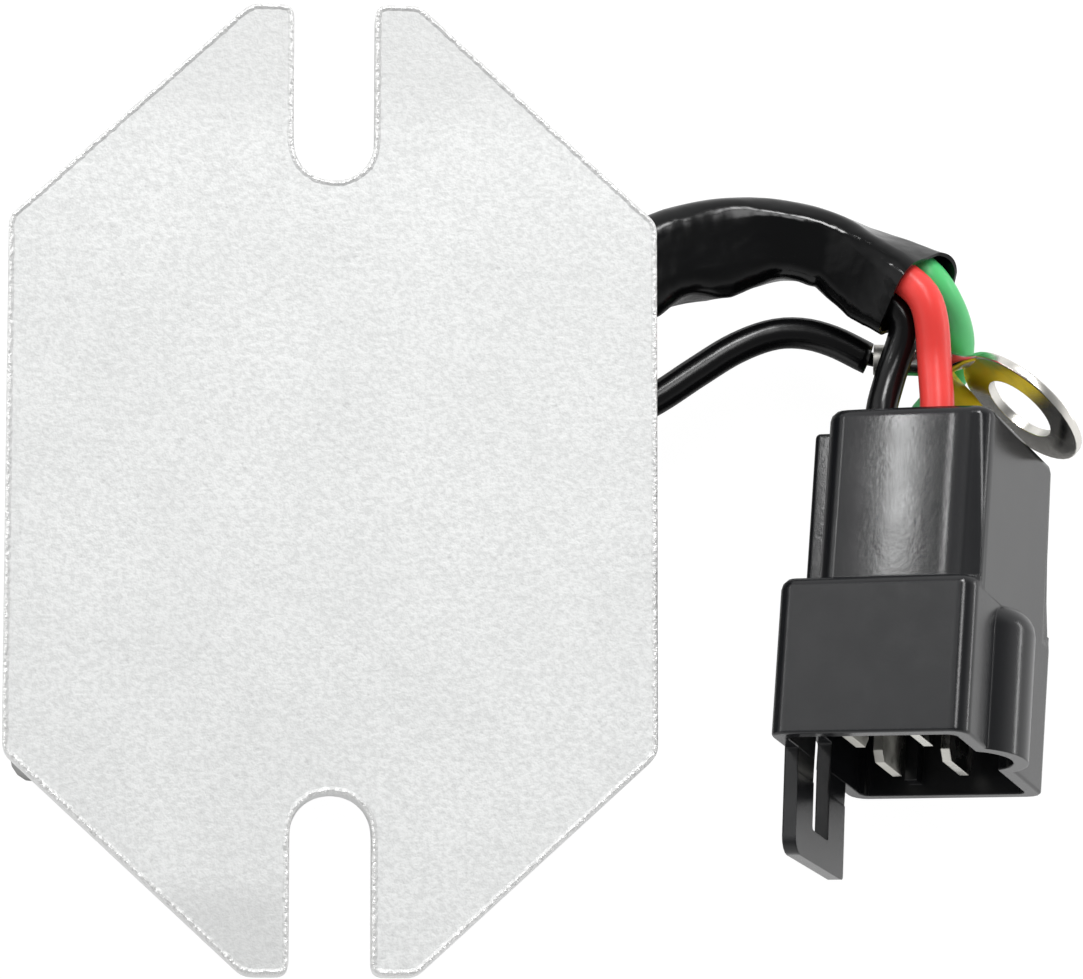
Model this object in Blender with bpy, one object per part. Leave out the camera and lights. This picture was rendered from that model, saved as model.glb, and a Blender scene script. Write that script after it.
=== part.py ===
"""Voltage regulator and rectifier of a small engine.

A finned body full of power devices sits under a slotted mounting plate. A short pigtail of four
wires in a shrink sleeve leads to a four-way tab connector, and a ground wire ends in a ring terminal.
The part lies on its fins with the mounting face up: X across the plate, Y along it, Z out of the
mounting face. The origin is under the middle of the plate, at the fin tips.
"""

import math

import bmesh
import bpy
from mathutils import Matrix, Vector
from mathutils.geometry import intersect_line_line_2d

MM = 0.001
GAP = 0.3 * MM  # between pieces that touch
SLACK = 2.0 * MM  # how far a cutter runs past the face it opens

# Mounting plate
PLATE_WIDTH = 53.5 * MM
PLATE_LENGTH = 80.6 * MM
PLATE_THICKNESS = 3.0 * MM
PLATE_SIDE = 44.2 * MM  # straight part of each long side
PLATE_END = 14.1 * MM  # width between the slanted sides at each end
PLATE_CORNER = 1.2 * MM
PLATE_EDGE = 0.4 * MM  # rolled edge left by blanking and tumbling
SLOT_WIDTH = 6.7 * MM
SLOT_FLOOR = 25.4 * MM  # from the plate's middle to the bottom of each slot
SLOT_LIP = 0.8 * MM
TAB_CORNER = 1.6 * MM

# Finned body
BODY_WIDTH = 44.0 * MM
BODY_LENGTH = 45.8 * MM
BODY_INSET = 0.35 * MM  # from the plate's left edge, so that the wires leave under the plate
BODY_WALL = 2.2 * MM
BODY_CORNER = 2.2 * MM
BODY_DRAFT = math.radians(1.5)
FIN_HEIGHT = 6.5 * MM
FIN_COUNT = 8
FIN_TIP = 2.3 * MM
FIN_TAPER = 0.3 * MM  # what each gap loses on each side from tip to root
FIN_END_RADIUS = 2.5 * MM
FLOOR_THICKNESS = 3.5 * MM
CAVITY_DEPTH = 10.7 * MM
REBATE_WIDTH = 1.1 * MM
REBATE_DEPTH = 1.2 * MM

# Power devices, two rows with their metal tabs together
DEVICE_WIDTH = 10.0 * MM
DEVICE_PITCH = 10.8 * MM
DEVICE_START = 5.8 * MM  # from the cavity's wall to the first device's middle
DEVICE_TAB = 6.4 * MM
DEVICE_BODY = 9.2 * MM
DEVICE_TAB_THICKNESS = 1.3 * MM
DEVICE_HEIGHT = 4.5 * MM
DEVICE_SPLIT = 4.0 * MM  # strip between the two rows, where the clamp's screws pass
LEAD_WIDTH = 0.8 * MM
LEAD_THICKNESS = 0.5 * MM
LEAD_PITCH = 2.54 * MM
LEAD_REACH = 1.2 * MM
PAD_THICKNESS = 0.4 * MM
CLAMP_WIDTH = 9.0 * MM
CLAMP_THICKNESS = 1.5 * MM
SCREW_DIAMETER = 3.0 * MM
SCREW_HEAD = 5.4 * MM
SCREW_HEAD_HEIGHT = 1.9 * MM
SCREW_DEPTH = 2.6 * MM

# Circuit board and what it carries
BOARD_LENGTH = 38.6 * MM
BOARD_MARGIN = 1.0 * MM  # from the cavity's left wall
BOARD_THICKNESS = 1.6 * MM
BOARD_HEIGHT = 7.0 * MM  # its underside above the cavity's floor
RESISTOR_PLACE = 9.0 * MM  # from the board's middle
ZENER_PLACE = 8.0 * MM
CHIP_SIZE = (5.0 * MM, 4.0 * MM, 1.4 * MM)
RESISTOR_SIZE = (6.3 * MM, 3.2 * MM, 0.7 * MM)
ZENER_SIZE = (4.4 * MM, 2.6 * MM, 1.4 * MM)
CAPACITOR_DIAMETER = 8.0 * MM
CAPACITOR_LENGTH = 12.0 * MM
CAPACITOR_MARGIN = 1.8 * MM  # to the board on one side and the wall on the other
CAPACITOR_END = 3.0 * MM  # from the cavity's lower wall

# Wires, sleeve and grommet
WIRE_DIAMETER = 2.7 * MM
CONDUCTOR_DIAMETER = 1.2 * MM
BUNDLE_STEP = 2.0  # diameters from one point of a wire's line to the next
FREE_STEP = 1.5  # the same where a wire bends more sharply
WIRE_SPACING = 2.95 * MM  # between the middles of neighbouring wires in the sleeve
SLEEVE_WALL = 0.35 * MM
SLEEVE_CLEARANCE = 0.25 * MM
SLEEVE_FLARE = 1.18  # the mouth is this much wider than the rest
SLEEVE_TWIST = math.radians(45)
BUNDLE_Y = 16.4 * MM
BUNDLE_Z = 14.6 * MM
GROUND_Y = 6.2 * MM
GROUND_Z = 12.6 * MM
GROMMET_RUBBER = 1.1 * MM  # round each hole
GROMMET_FLANGE = 1.2 * MM
GROMMET_LIP = 0.8 * MM

# Ring terminal for an M6 stud
RING_DIAMETER = 12.2 * MM
RING_HOLE = 6.6 * MM
RING_THICKNESS = 0.8 * MM
RING_MIDDLE = Vector((58.75, 9.3, 11.0)) * MM
RING_HEADING = math.radians(-41.5)  # of the tongue's line, seen from above
RING_LEAN = math.radians(9.5)
NECK_WIDTH = 4.4 * MM
BARREL_DIAMETER = 2.6 * MM
BARREL_BORE = 1.7 * MM
BARREL_START = Vector((46.2, 13.25, 10.2)) * MM
BARREL_LENGTH = 6.2 * MM

# Connector: u across, v from the mating end to the wires, w out of the broad face
CONNECTOR_PLACE = Vector((48.26, -21.92, 15.16)) * MM
CONNECTOR_YAW = math.radians(-4.67)
CONNECTOR_PITCH = math.radians(-6.84)
CONNECTOR_ROLL = math.radians(-24.7)
HOOD_WIDTH = 17.1 * MM
HOOD_DEPTH = 22.8 * MM
HOOD_LENGTH = 13.5 * MM
HOOD_WALL = 1.25 * MM
HOOD_CAVITY = 11.5 * MM
HOOD_CORNER = 1.5 * MM
HOOD_EDGE = 1.0 * MM
NECK_LENGTH = 14.95 * MM  # of the narrower half that holds the wires
NECK_LEFT_STEP = 2.7 * MM
NECK_FRONT_STEP = 1.3 * MM
NECK_BACK_STEP = 1.8 * MM
NECK_CORNER = 1.7 * MM
NECK_EDGE = 0.9 * MM
NECK_DRAFT = 0.3 * MM
NECK_ROOT = 0.9 * MM  # how far the neck and the rail run into the hood
RAIL_HEIGHT = 2.0 * MM
RAIL_WIDTH = 8.5 * MM
RAIL_MIDDLE = 2.2 * MM
RAIL_LENGTH = 12.0 * MM
KEY_RADIUS = 4.6 * MM
KEY_HEIGHT = 2.15 * MM
KEY_LENGTH = 12.9 * MM
KEY_MIDDLE = 1.3 * MM
DIVIDER_THICKNESS = 1.1 * MM
DIVIDER_HEIGHT = 1.5 * MM
DIVIDER_PLACE = -2.6 * MM
ARM_LENGTH = 8.9 * MM
ARM_WIDTH = 12.5 * MM
ARM_MIDDLE = 0.6 * MM
ARM_THICKNESS = 1.2 * MM
ARM_CORNER = 1.3 * MM
ARM_LEAN = 0.04  # how much the arm bends inwards for each unit of its reach
ARM_WINDOW = 4.1 * MM
ARM_WINDOW_LENGTH = 8.5 * MM
ARM_WINDOW_END = 2.9 * MM  # bar left past the window
TAB_WIDTH = 6.3 * MM
TAB_THICKNESS = 0.8 * MM
TAB_RECESS = 1.0 * MM
TAB_COLUMNS = 5.9 * MM
TAB_ROWS = 10.0 * MM
TAB_SHIFT = -0.4 * MM  # of both columns from the hood's middle
TAB_POINT = 0.9 * MM
SHANK_WIDTH = 2.4 * MM  # the blade's narrow end, behind its shoulders
FERRULE_DIAMETER = 2.8 * MM
FERRULE_LENGTH = 2.0 * MM
CELL_WIDTH = 4.2 * MM  # of each rear opening, which a terminal is pushed in through
CELL_DEPTH = 6.8 * MM
CELL_COLUMNS = 5.86 * MM
CELL_CORNER = 0.6 * MM
WIRE_SEAT = 9.4 * MM  # how deep a wire goes into the connector

# Heights and places that follow
BODY_OFFSET = BODY_INSET - (PLATE_WIDTH - BODY_WIDTH) / 2
BODY_HEIGHT = FIN_HEIGHT + FLOOR_THICKNESS + CAVITY_DEPTH
FLOOR_Z = FIN_HEIGHT + FLOOR_THICKNESS
PLATE_BOTTOM = BODY_HEIGHT + GAP
PLATE_TOP = PLATE_BOTTOM + PLATE_THICKNESS
CAVITY_X = BODY_WIDTH / 2 - BODY_WALL
CAVITY_Y = BODY_LENGTH / 2 - BODY_WALL
PAD_Z = FLOOR_Z + GAP
DEVICE_Z = PAD_Z + PAD_THICKNESS + GAP
DEVICE_COLUMNS = [-CAVITY_X + DEVICE_START + i * DEVICE_PITCH for i in range(2)]
DEVICE_END = DEVICE_SPLIT / 2 + DEVICE_TAB + DEVICE_BODY
CLAMP_Z = DEVICE_Z + DEVICE_TAB_THICKNESS + GAP
BOARD_Z = FLOOR_Z + BOARD_HEIGHT
BOARD_TOP = BOARD_Z + BOARD_THICKNESS
BOARD_LEFT = -CAVITY_X + BOARD_MARGIN
BOARD_RIGHT = CAVITY_X - CAPACITOR_DIAMETER - 2 * CAPACITOR_MARGIN
WIRE_START = BODY_OFFSET + BOARD_RIGHT + 0.7 * MM
FLANGE_IN = BODY_WIDTH / 2 + GAP
SLEEVE_START = BODY_OFFSET + FLANGE_IN + GROMMET_FLANGE + GAP
SLEEVE_HALF = WIRE_SPACING / 2 + WIRE_DIAMETER / 2 + SLEEVE_CLEARANCE
CONNECTOR_LENGTH = HOOD_LENGTH + NECK_LENGTH
SHOULDER = HOOD_CAVITY + 1.4 * MM
FERRULE_START = CONNECTOR_LENGTH - WIRE_SEAT - GAP - FERRULE_LENGTH

# Where the middle of the bundle goes, from the board to the sleeve's mouth
BUNDLE_ROUTE = [
    (WIRE_START, BUNDLE_Y, BUNDLE_Z),
    (10.5 * MM, BUNDLE_Y, BUNDLE_Z),
    (16.0 * MM, BUNDLE_Y, BUNDLE_Z),
    (SLEEVE_START, BUNDLE_Y, BUNDLE_Z),
    (SLEEVE_START + 1.0 * MM, BUNDLE_Y + 0.1 * MM, BUNDLE_Z),
    (22.2 * MM, 17.3 * MM, 14.45 * MM),
    (24.6 * MM, 19.1 * MM, 14.1 * MM),
    (27.3 * MM, 20.65 * MM, 13.6 * MM),
    (30.4 * MM, 21.9 * MM, 13.0 * MM),
    (33.15 * MM, 22.65 * MM, 12.5 * MM),
    (35.8 * MM, 23.0 * MM, 12.2 * MM),
    (38.7 * MM, 23.1 * MM, 12.15 * MM),
    (42.05 * MM, 22.4 * MM, 12.5 * MM),
    (44.5 * MM, 21.3 * MM, 13.1 * MM),
    (47.2 * MM, 19.9 * MM, 13.9 * MM),
    (49.0 * MM, 18.5 * MM, 14.6 * MM),
]
# The hand-laid points of each wire from the mouth to the connector
BLACK_ROUTE = [(48.5, 15.7, 14.6), (48.1, 13.8, 14.2), (47.4, 11.9, 14.1), (46.8, 9.9, 14.5)]
RED_ROUTE = [(49.8, 17.4, 17.2), (50.4, 15.2, 16.9), (50.6, 12.8, 16.4), (50.7, 10.5, 16.6)]
YELLOW_ROUTE = [
    (50.8, 17.1, 12.0),
    (50.9, 15.7, 9.5),
    (51.5, 13.7, 7.3),
    (52.6, 11.6, 6.8),
    (54.1, 9.8, 7.7),
]
GREEN_ROUTE = [
    (52.3, 19.0, 14.2),
    (53.9, 17.3, 11.6),
    (54.8, 15.3, 7.9),
    (54.3, 13.3, 4.6),
    (52.7, 11.2, 3.6),
    (51.0, 9.2, 4.6),
]
# How far each wire sits from its contact's line, in u and w, where it enters its cell
BLACK_LEAN = (0.8 * MM, 0.0)
RED_LEAN = (-0.2 * MM, 0.0)
YELLOW_LEAN = (0.75 * MM, 0.6 * MM)
GREEN_LEAN = (0.4 * MM, 0.0)
GROUND_ROUTE = [
    (WIRE_START, GROUND_Y, GROUND_Z),
    (11.0 * MM, GROUND_Y, GROUND_Z),
    (16.5 * MM, GROUND_Y, GROUND_Z),
    (20.5 * MM, 6.5 * MM, 12.6 * MM),
    (24.2 * MM, 7.6 * MM, 12.5 * MM),
    (27.6 * MM, 9.4 * MM, 12.3 * MM),
    (30.95 * MM, 11.7 * MM, 11.9 * MM),
    (34.2 * MM, 13.8 * MM, 11.5 * MM),
    (37.3 * MM, 15.1 * MM, 11.1 * MM),
    (40.0 * MM, 15.35 * MM, 10.8 * MM),
    (42.7 * MM, 14.75 * MM, 10.5 * MM),
]

# Colour, roughness and metallic value of each finish
FINISHES = {
    "bare_aluminium": ((0.78, 0.79, 0.79), 0.42, 1.0),
    "cast_aluminium": ((0.56, 0.57, 0.58), 0.5, 1.0),
    "steel": ((0.55, 0.55, 0.56), 0.35, 1.0),
    "tinned_copper": ((0.80, 0.79, 0.75), 0.18, 1.0),
    "tinned_brass": ((0.72, 0.71, 0.66), 0.25, 1.0),
    "black_plastic": ((0.022, 0.024, 0.028), 0.36, 0.0),
    "sleeve_black": ((0.012, 0.012, 0.014), 0.2, 0.0),
    "rubber": ((0.02, 0.02, 0.02), 0.6, 0.0),
    "black_wire": ((0.014, 0.014, 0.015), 0.25, 0.0),
    "red_wire": ((0.9, 0.07, 0.06), 0.3, 0.0),
    "green_wire": ((0.09, 0.6, 0.2), 0.3, 0.0),
    "yellow_wire": ((0.85, 0.68, 0.03), 0.3, 0.0),
    "potting": ((0.03, 0.03, 0.03), 0.45, 0.0),
    "epoxy_case": ((0.03, 0.03, 0.03), 0.5, 0.0),
    "board_green": ((0.03, 0.2, 0.08), 0.45, 0.0),
    "pad_grey": ((0.5, 0.5, 0.52), 0.7, 0.0),
    "sealant_grey": ((0.35, 0.35, 0.36), 0.6, 0.0),
    "can_sleeve": ((0.03, 0.06, 0.2), 0.35, 0.0),
}


def clear_scene():
    """Start from an empty scene."""
    for thing in list(bpy.data.objects):
        bpy.data.objects.remove(thing, do_unlink=True)


def finish(name):
    """The material of a finish, made once."""
    if name in bpy.data.materials:
        return bpy.data.materials[name]
    colour, roughness, metallic = FINISHES[name]
    made = bpy.data.materials.new(name)
    made.use_nodes = True
    shader = made.node_tree.nodes["Principled BSDF"]
    shader.inputs["Base Color"].default_value = (*colour, 1.0)
    shader.inputs["Roughness"].default_value = roughness
    shader.inputs["Metallic"].default_value = metallic
    made.diffuse_color = (*colour, 1.0)
    return made


def link(name, data, finish_name):
    """An object of the scene with its finish."""
    thing = bpy.data.objects.new(name, data)
    data.materials.append(finish(finish_name))
    bpy.context.scene.collection.objects.link(thing)
    return thing


def piece(name, solid, finish_name, place=None):
    """A sub-part made from a closed bmesh."""
    mesh = bpy.data.meshes.new(name)
    bmesh.ops.remove_doubles(solid, verts=solid.verts, dist=0.001 * MM)
    bmesh.ops.dissolve_degenerate(solid, edges=solid.edges, dist=0.001 * MM)
    solid.to_mesh(mesh)
    solid.free()
    if place is not None:
        mesh.transform(place)
    mesh.shade_smooth()
    mesh.set_sharp_from_angle(angle=math.radians(32))
    return link(name, mesh, finish_name)


def inset_corners(corners, inset):
    """The corners of an anticlockwise outline with every side moved inwards."""
    moved = []
    count = len(corners)
    sides = []
    for i in range(count):
        start, end = Vector(corners[i][:2]), Vector(corners[(i + 1) % count][:2])
        inward = (end - start).normalized().orthogonal() * inset
        sides.append((start + inward, end + inward))
    for i in range(count):
        (a, b), (c, d) = sides[i - 1], sides[i]
        along = (b - a).normalized() * PLATE_LENGTH
        other = (d - c).normalized() * PLATE_LENGTH
        meet = intersect_line_line_2d(a - along, b + along, c - other, d + other)
        turn = (b - a).cross(d - c)
        radius = corners[i][2] - inset if turn > 0 else corners[i][2] + inset
        moved.append((meet.x, meet.y, max(radius, 0.05 * MM)))
    return moved


def filleted(corners, steps=4):
    """An outline with each (x, y, radius) corner rounded by an arc."""
    outline = []
    count = len(corners)
    for i, (x, y, radius) in enumerate(corners):
        corner = Vector((x, y))
        back = (Vector(corners[i - 1][:2]) - corner).normalized()
        ahead = (Vector(corners[(i + 1) % count][:2]) - corner).normalized()
        half = back.angle(ahead) / 2
        middle = corner + (back + ahead).normalized() * (radius / math.sin(half))
        first = corner + back * (radius / math.tan(half)) - middle
        last = corner + ahead * (radius / math.tan(half)) - middle
        sweep = first.angle_signed(last)
        for step in range(steps + 1):
            spoke = first.copy()
            spoke.rotate(Matrix.Rotation(-sweep * step / steps, 2))
            outline.append(tuple(middle + spoke))
    return outline


def rectangle(half_x, half_y, radius, middle=(0.0, 0.0), inset=0.0, steps=4):
    """A rectangle with round corners."""
    x, y = half_x - inset, half_y - inset
    cx, cy = middle
    corner = max(radius - inset, 0.05 * MM)
    corners = [(x, -y), (x, y), (-x, y), (-x, -y)]
    return filleted([(cx + a, cy + b, corner) for a, b in corners], steps)


def circle(radius, middle=(0.0, 0.0), sides=24):
    """A round outline."""
    cx, cy = middle
    turns = [2 * math.pi * i / sides for i in range(sides)]
    return [(cx + radius * math.cos(t), cy + radius * math.sin(t)) for t in turns]


def loft(rings):
    """A closed solid through rings of 3D points that have equal counts."""
    solid = bmesh.new()
    loops = [[solid.verts.new(point) for point in ring] for ring in rings]
    for lower, upper in zip(loops, loops[1:]):
        for i in range(len(lower)):
            j = (i + 1) % len(lower)
            solid.faces.new((lower[i], lower[j], upper[j], upper[i]))
    solid.faces.new(list(reversed(loops[0])))
    solid.faces.new(loops[-1])
    bmesh.ops.recalc_face_normals(solid, faces=solid.faces)
    return solid


def on_axis(outline, height, axis):
    """An outline's points in space, at a height along an axis."""
    if axis == "X":
        return [(height, a, b) for a, b in outline]
    if axis == "Y":
        return [(a, height, b) for a, b in outline]
    return [(a, b, height) for a, b in outline]


def prism(outline, low, high, axis="Z"):
    """An outline extruded along an axis."""
    return loft([on_axis(outline, low, axis), on_axis(outline, high, axis)])


def soft_prism(section, low, high, axis="Z", low_edge=0.0, high_edge=0.0, steps=3):
    """An extrusion whose end edges are rounded; section(inset) gives its outline."""
    turns = [math.pi / 2 * step / steps for step in range(steps + 1)]
    rings = [(low, 0.0)]
    if low_edge:
        rings = [(low + low_edge * (1 - math.cos(t)), low_edge * (1 - math.sin(t))) for t in turns]
    if high_edge:
        rings += [(high - high_edge * (1 - math.sin(t)), high_edge * (1 - math.cos(t))) for t in turns]
    else:
        rings.append((high, 0.0))
    return loft([on_axis(section(inset), height, axis) for height, inset in rings])


def box(low, high):
    """A plain block between two corners."""
    outline = [(low[0], low[1]), (high[0], low[1]), (high[0], high[1]), (low[0], high[1])]
    return prism(outline, low[2], high[2])


def carve(solid, add=(), cut=()):
    """A solid with others joined to it and then cut from it."""
    def temporary(shape):
        mesh = bpy.data.meshes.new("carving")
        shape.to_mesh(mesh)
        shape.free()
        thing = bpy.data.objects.new("carving", mesh)
        bpy.context.scene.collection.objects.link(thing)
        return thing

    base = temporary(solid)
    things = [base]
    for operation, shapes in (("UNION", add), ("DIFFERENCE", cut)):
        for shape in shapes:
            tool = temporary(shape)
            things.append(tool)
            step = base.modifiers.new("carve", "BOOLEAN")
            step.operation = operation
            step.object = tool
    view = bpy.context.evaluated_depsgraph_get()
    carved = bmesh.new()
    carved.from_mesh(base.evaluated_get(view).to_mesh())
    for thing in things:
        mesh = thing.data
        bpy.data.objects.remove(thing, do_unlink=True)
        bpy.data.meshes.remove(mesh)
    return carved


def plate_outline(inset):
    """Eight-sided outline with an open slot in each end."""
    side, half, end = PLATE_SIDE / 2, PLATE_WIDTH / 2, PLATE_END / 2
    top, slot = PLATE_LENGTH / 2, SLOT_WIDTH / 2
    bend = slot * 0.96  # a little under half the slot, so that its arcs don't meet
    upper = [
        (half, -side, PLATE_CORNER),
        (half, side, PLATE_CORNER),
        (end, top, TAB_CORNER),
        (slot, top, SLOT_LIP),
        (slot, SLOT_FLOOR, bend),
        (-slot, SLOT_FLOOR, bend),
        (-slot, top, SLOT_LIP),
        (-end, top, TAB_CORNER),
    ]
    lower = [(-x, -y, radius) for x, y, radius in upper]
    return filleted(inset_corners(upper + lower, inset), steps=5)


def mounting_plate():
    """Blanked aluminium plate with rolled edges."""
    solid = soft_prism(plate_outline, PLATE_BOTTOM, PLATE_TOP, "Z", PLATE_EDGE, PLATE_EDGE)
    piece("mounting_plate", solid, "bare_aluminium")


def body_envelope():
    """The body's outer form, with draft towards the fins and rounded fin ends."""
    def section(height):
        inset = (BODY_HEIGHT - height) * math.tan(BODY_DRAFT)
        below = max(0.0, FIN_END_RADIUS - height)
        cut_back = FIN_END_RADIUS - math.sqrt(FIN_END_RADIUS**2 - below**2)
        half_x, half_y = BODY_WIDTH / 2 - inset, BODY_LENGTH / 2 - inset - cut_back
        return on_axis(rectangle(half_x, half_y, BODY_CORNER), height, "Z")

    turns = [math.pi / 2 * i / 4 for i in range(5)]
    heights = [FIN_END_RADIUS * (1 - math.cos(turn)) for turn in turns]
    heights[0] = 0.12 * FIN_END_RADIUS  # the tips end flat
    rings = [section(height) for height in heights + [FIN_HEIGHT, BODY_HEIGHT]]
    return loft([[(x, y, 0.0) for x, y, _ in rings[0]]] + rings)


def fin_gap(middle, width):
    """The cutter of one gap between fins, narrower and rounded at its root."""
    tip, root = width / 2, width / 2 - FIN_TAPER
    turns = [math.pi * i / 8 for i in range(9)]
    spread = FIN_TAPER / FIN_HEIGHT * SLACK
    outline = [(middle - tip - spread, -SLACK), (middle + tip + spread, -SLACK)]
    arch = FIN_HEIGHT - root
    outline += [(middle + root * math.cos(t), arch + root * math.sin(t)) for t in turns]
    reach = BODY_LENGTH / 2 + SLACK
    return prism(outline, -reach, reach, "Y")


def grommet_section(margin):
    """Outline in Y and Z of the grommet, which holds the bundle and the ground wire."""
    low_y = GROUND_Y - WIRE_DIAMETER / 2 - GROMMET_RUBBER - GAP
    high_y = BUNDLE_Y + SLEEVE_HALF + GROMMET_RUBBER
    low_z, high_z = FLOOR_Z + GAP, BUNDLE_Z + SLEEVE_HALF + 1.5 * MM
    middle = ((low_y + high_y) / 2, (low_z + high_z) / 2)
    half_y, half_z = (high_y - low_y) / 2 + margin, (high_z - low_z) / 2 + margin
    return rectangle(half_y, half_z, 1.0 * MM + max(margin, 0), middle)


def screw_places():
    """The two clamp screws stand in the strip between the device rows."""
    return [(x, 0.0) for x in DEVICE_COLUMNS]


def heat_sink_housing():
    """Die-cast cup with eight cooling fins, a sealed rim and a notch for the wires."""
    width = BODY_WIDTH - 2 * BODY_HEIGHT * math.tan(BODY_DRAFT)
    pitch = (width - FIN_TIP) / (FIN_COUNT - 1)
    gaps = [fin_gap(-width / 2 + FIN_TIP / 2 + pitch * (i + 0.5), pitch - FIN_TIP)
            for i in range(FIN_COUNT - 1)]
    inner = BODY_CORNER - BODY_WALL / 2
    top = BODY_HEIGHT + SLACK
    cuts = gaps + [
        prism(rectangle(CAVITY_X, CAVITY_Y, inner), FLOOR_Z, top),
        prism(rectangle(CAVITY_X + REBATE_WIDTH, CAVITY_Y + REBATE_WIDTH, inner),
              BODY_HEIGHT - REBATE_DEPTH, top),
    ]
    notch = grommet_section(GAP)
    low_y, high_y = min(y for y, z in notch), max(y for y, z in notch)
    cuts.append(box((CAVITY_X - SLACK, low_y, FLOOR_Z), (BODY_WIDTH / 2 + SLACK, high_y, top)))
    for place in screw_places():
        hole = circle(SCREW_DIAMETER / 2 + GAP, place, sides=16)
        cuts.append(prism(hole, FLOOR_Z - SCREW_DEPTH - GAP, FLOOR_Z + SLACK))
    solid = carve(body_envelope(), cut=cuts)
    piece("heat_sink_housing", solid, "cast_aluminium", in_body())


def in_body():
    """From the body's own middle to the plate's."""
    return Matrix.Translation((BODY_OFFSET, 0.0, 0.0))


def rim_gasket():
    """Bead of sealant in the rim's rebate."""
    low, high = BODY_HEIGHT - REBATE_DEPTH + GAP, BODY_HEIGHT
    outer = REBATE_WIDTH - GAP
    ring = prism(rectangle(CAVITY_X + outer, CAVITY_Y + outer, BODY_CORNER / 2), low, high)
    hole = prism(rectangle(CAVITY_X, CAVITY_Y, BODY_CORNER / 2), low - SLACK, high + SLACK)
    piece("rim_gasket", carve(ring, cut=[hole]), "sealant_grey", in_body())


def thermal_pad():
    """Insulating sheet under the power devices."""
    left = DEVICE_COLUMNS[0] - DEVICE_WIDTH / 2
    right = DEVICE_COLUMNS[-1] + DEVICE_WIDTH / 2
    sheet = prism(rectangle((right - left) / 2, DEVICE_END, 0.5 * MM, ((left + right) / 2, 0.0)),
                  PAD_Z, PAD_Z + PAD_THICKNESS)
    holes = [prism(circle(SCREW_DIAMETER / 2 + GAP, place, 16), PAD_Z - SLACK, PAD_Z + SLACK)
             for place in screw_places()]
    piece("thermal_pad", carve(sheet, cut=holes), "pad_grey", in_body())


def power_device(name, column, row):
    """Three-legged device: metal tab, moulded body and legs turned up to the board."""
    tab_end = DEVICE_SPLIT / 2 + DEVICE_TAB
    tab_top, top = DEVICE_Z + DEVICE_TAB_THICKNESS, DEVICE_Z + DEVICE_HEIGHT
    slope = 0.3 * MM
    profile = [
        (DEVICE_SPLIT / 2, DEVICE_Z), (DEVICE_END, DEVICE_Z), (DEVICE_END, top - slope),
        (DEVICE_END - slope, top), (tab_end + slope, top), (tab_end, top - slope),
        (tab_end, tab_top), (DEVICE_SPLIT / 2, tab_top),
    ]
    solid = prism(profile, -DEVICE_WIDTH / 2, DEVICE_WIDTH / 2, "X")
    low = DEVICE_Z + DEVICE_HEIGHT / 2
    reach, lead_top = DEVICE_END + LEAD_REACH, BOARD_Z - GAP
    leg = [
        (DEVICE_END - 0.5 * MM, low), (reach, low), (reach, lead_top),
        (reach - LEAD_THICKNESS, lead_top), (reach - LEAD_THICKNESS, low + LEAD_THICKNESS),
        (DEVICE_END - 0.5 * MM, low + LEAD_THICKNESS),
    ]
    legs = [prism(leg, i * LEAD_PITCH - LEAD_WIDTH / 2, i * LEAD_PITCH + LEAD_WIDTH / 2, "X")
            for i in (-1, 0, 1)]
    place = in_body() @ Matrix.Translation((column, 0.0, 0.0))
    if row < 0:
        place = place @ Matrix.Rotation(math.pi, 4, "Z")
    piece(name, carve(solid, add=legs), "epoxy_case", place)


def clamp_bar():
    """Steel strip that presses both rows of tabs down."""
    left, right = DEVICE_COLUMNS[0] - 4.5 * MM, DEVICE_COLUMNS[-1] + 4.5 * MM
    outline = rectangle((right - left) / 2, CLAMP_WIDTH / 2, 1.0 * MM, ((left + right) / 2, 0.0))
    strip = prism(outline, CLAMP_Z, CLAMP_Z + CLAMP_THICKNESS)
    holes = [prism(circle(SCREW_DIAMETER / 2 + GAP, place, 16), CLAMP_Z - SLACK, CLAMP_Z + SLACK)
             for place in screw_places()]
    piece("clamp_bar", carve(strip, cut=holes), "steel", in_body())


def clamp_screw(name, place):
    """Pan-head screw from the clamp bar into the floor."""
    head_z = CLAMP_Z + CLAMP_THICKNESS + GAP
    shank, head = SCREW_DIAMETER / 2, SCREW_HEAD / 2
    stations = [
        (FLOOR_Z - SCREW_DEPTH, shank * 0.8), (FLOOR_Z - SCREW_DEPTH + 0.4 * MM, shank),
        (head_z, shank), (head_z, head), (head_z + SCREW_HEAD_HEIGHT * 0.6, head),
        (head_z + SCREW_HEAD_HEIGHT, head * 0.7),
    ]
    rings = [on_axis(circle(radius, place, 16), z, "Z") for z, radius in stations]
    recess = prism(circle(1.0 * MM, place, 4), head_z + SCREW_HEAD_HEIGHT * 0.35, head_z + SLACK * 2)
    piece(name, carve(loft(rings), cut=[recess]), "steel", in_body())


def circuit_board():
    """Glass-fibre board over the devices."""
    middle = ((BOARD_LEFT + BOARD_RIGHT) / 2, 0.0)
    outline = rectangle((BOARD_RIGHT - BOARD_LEFT) / 2, BOARD_LENGTH / 2, 0.8 * MM, middle)
    piece("circuit_board", prism(outline, BOARD_Z, BOARD_TOP), "board_green", in_body())


def board_places():
    """Name, middle, size and finish of what sits on the board's upper face."""
    column = (BOARD_LEFT + BOARD_RIGHT) / 2
    return [
        ("control_chip", (column, 0.0), CHIP_SIZE, "epoxy_case"),
        ("gate_resistor_1", (column, RESISTOR_PLACE), RESISTOR_SIZE, "epoxy_case"),
        ("gate_resistor_2", (column, -RESISTOR_PLACE), RESISTOR_SIZE, "epoxy_case"),
        ("zener_diode", (column + ZENER_PLACE, 0.0), ZENER_SIZE, "epoxy_case"),
    ]


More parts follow.
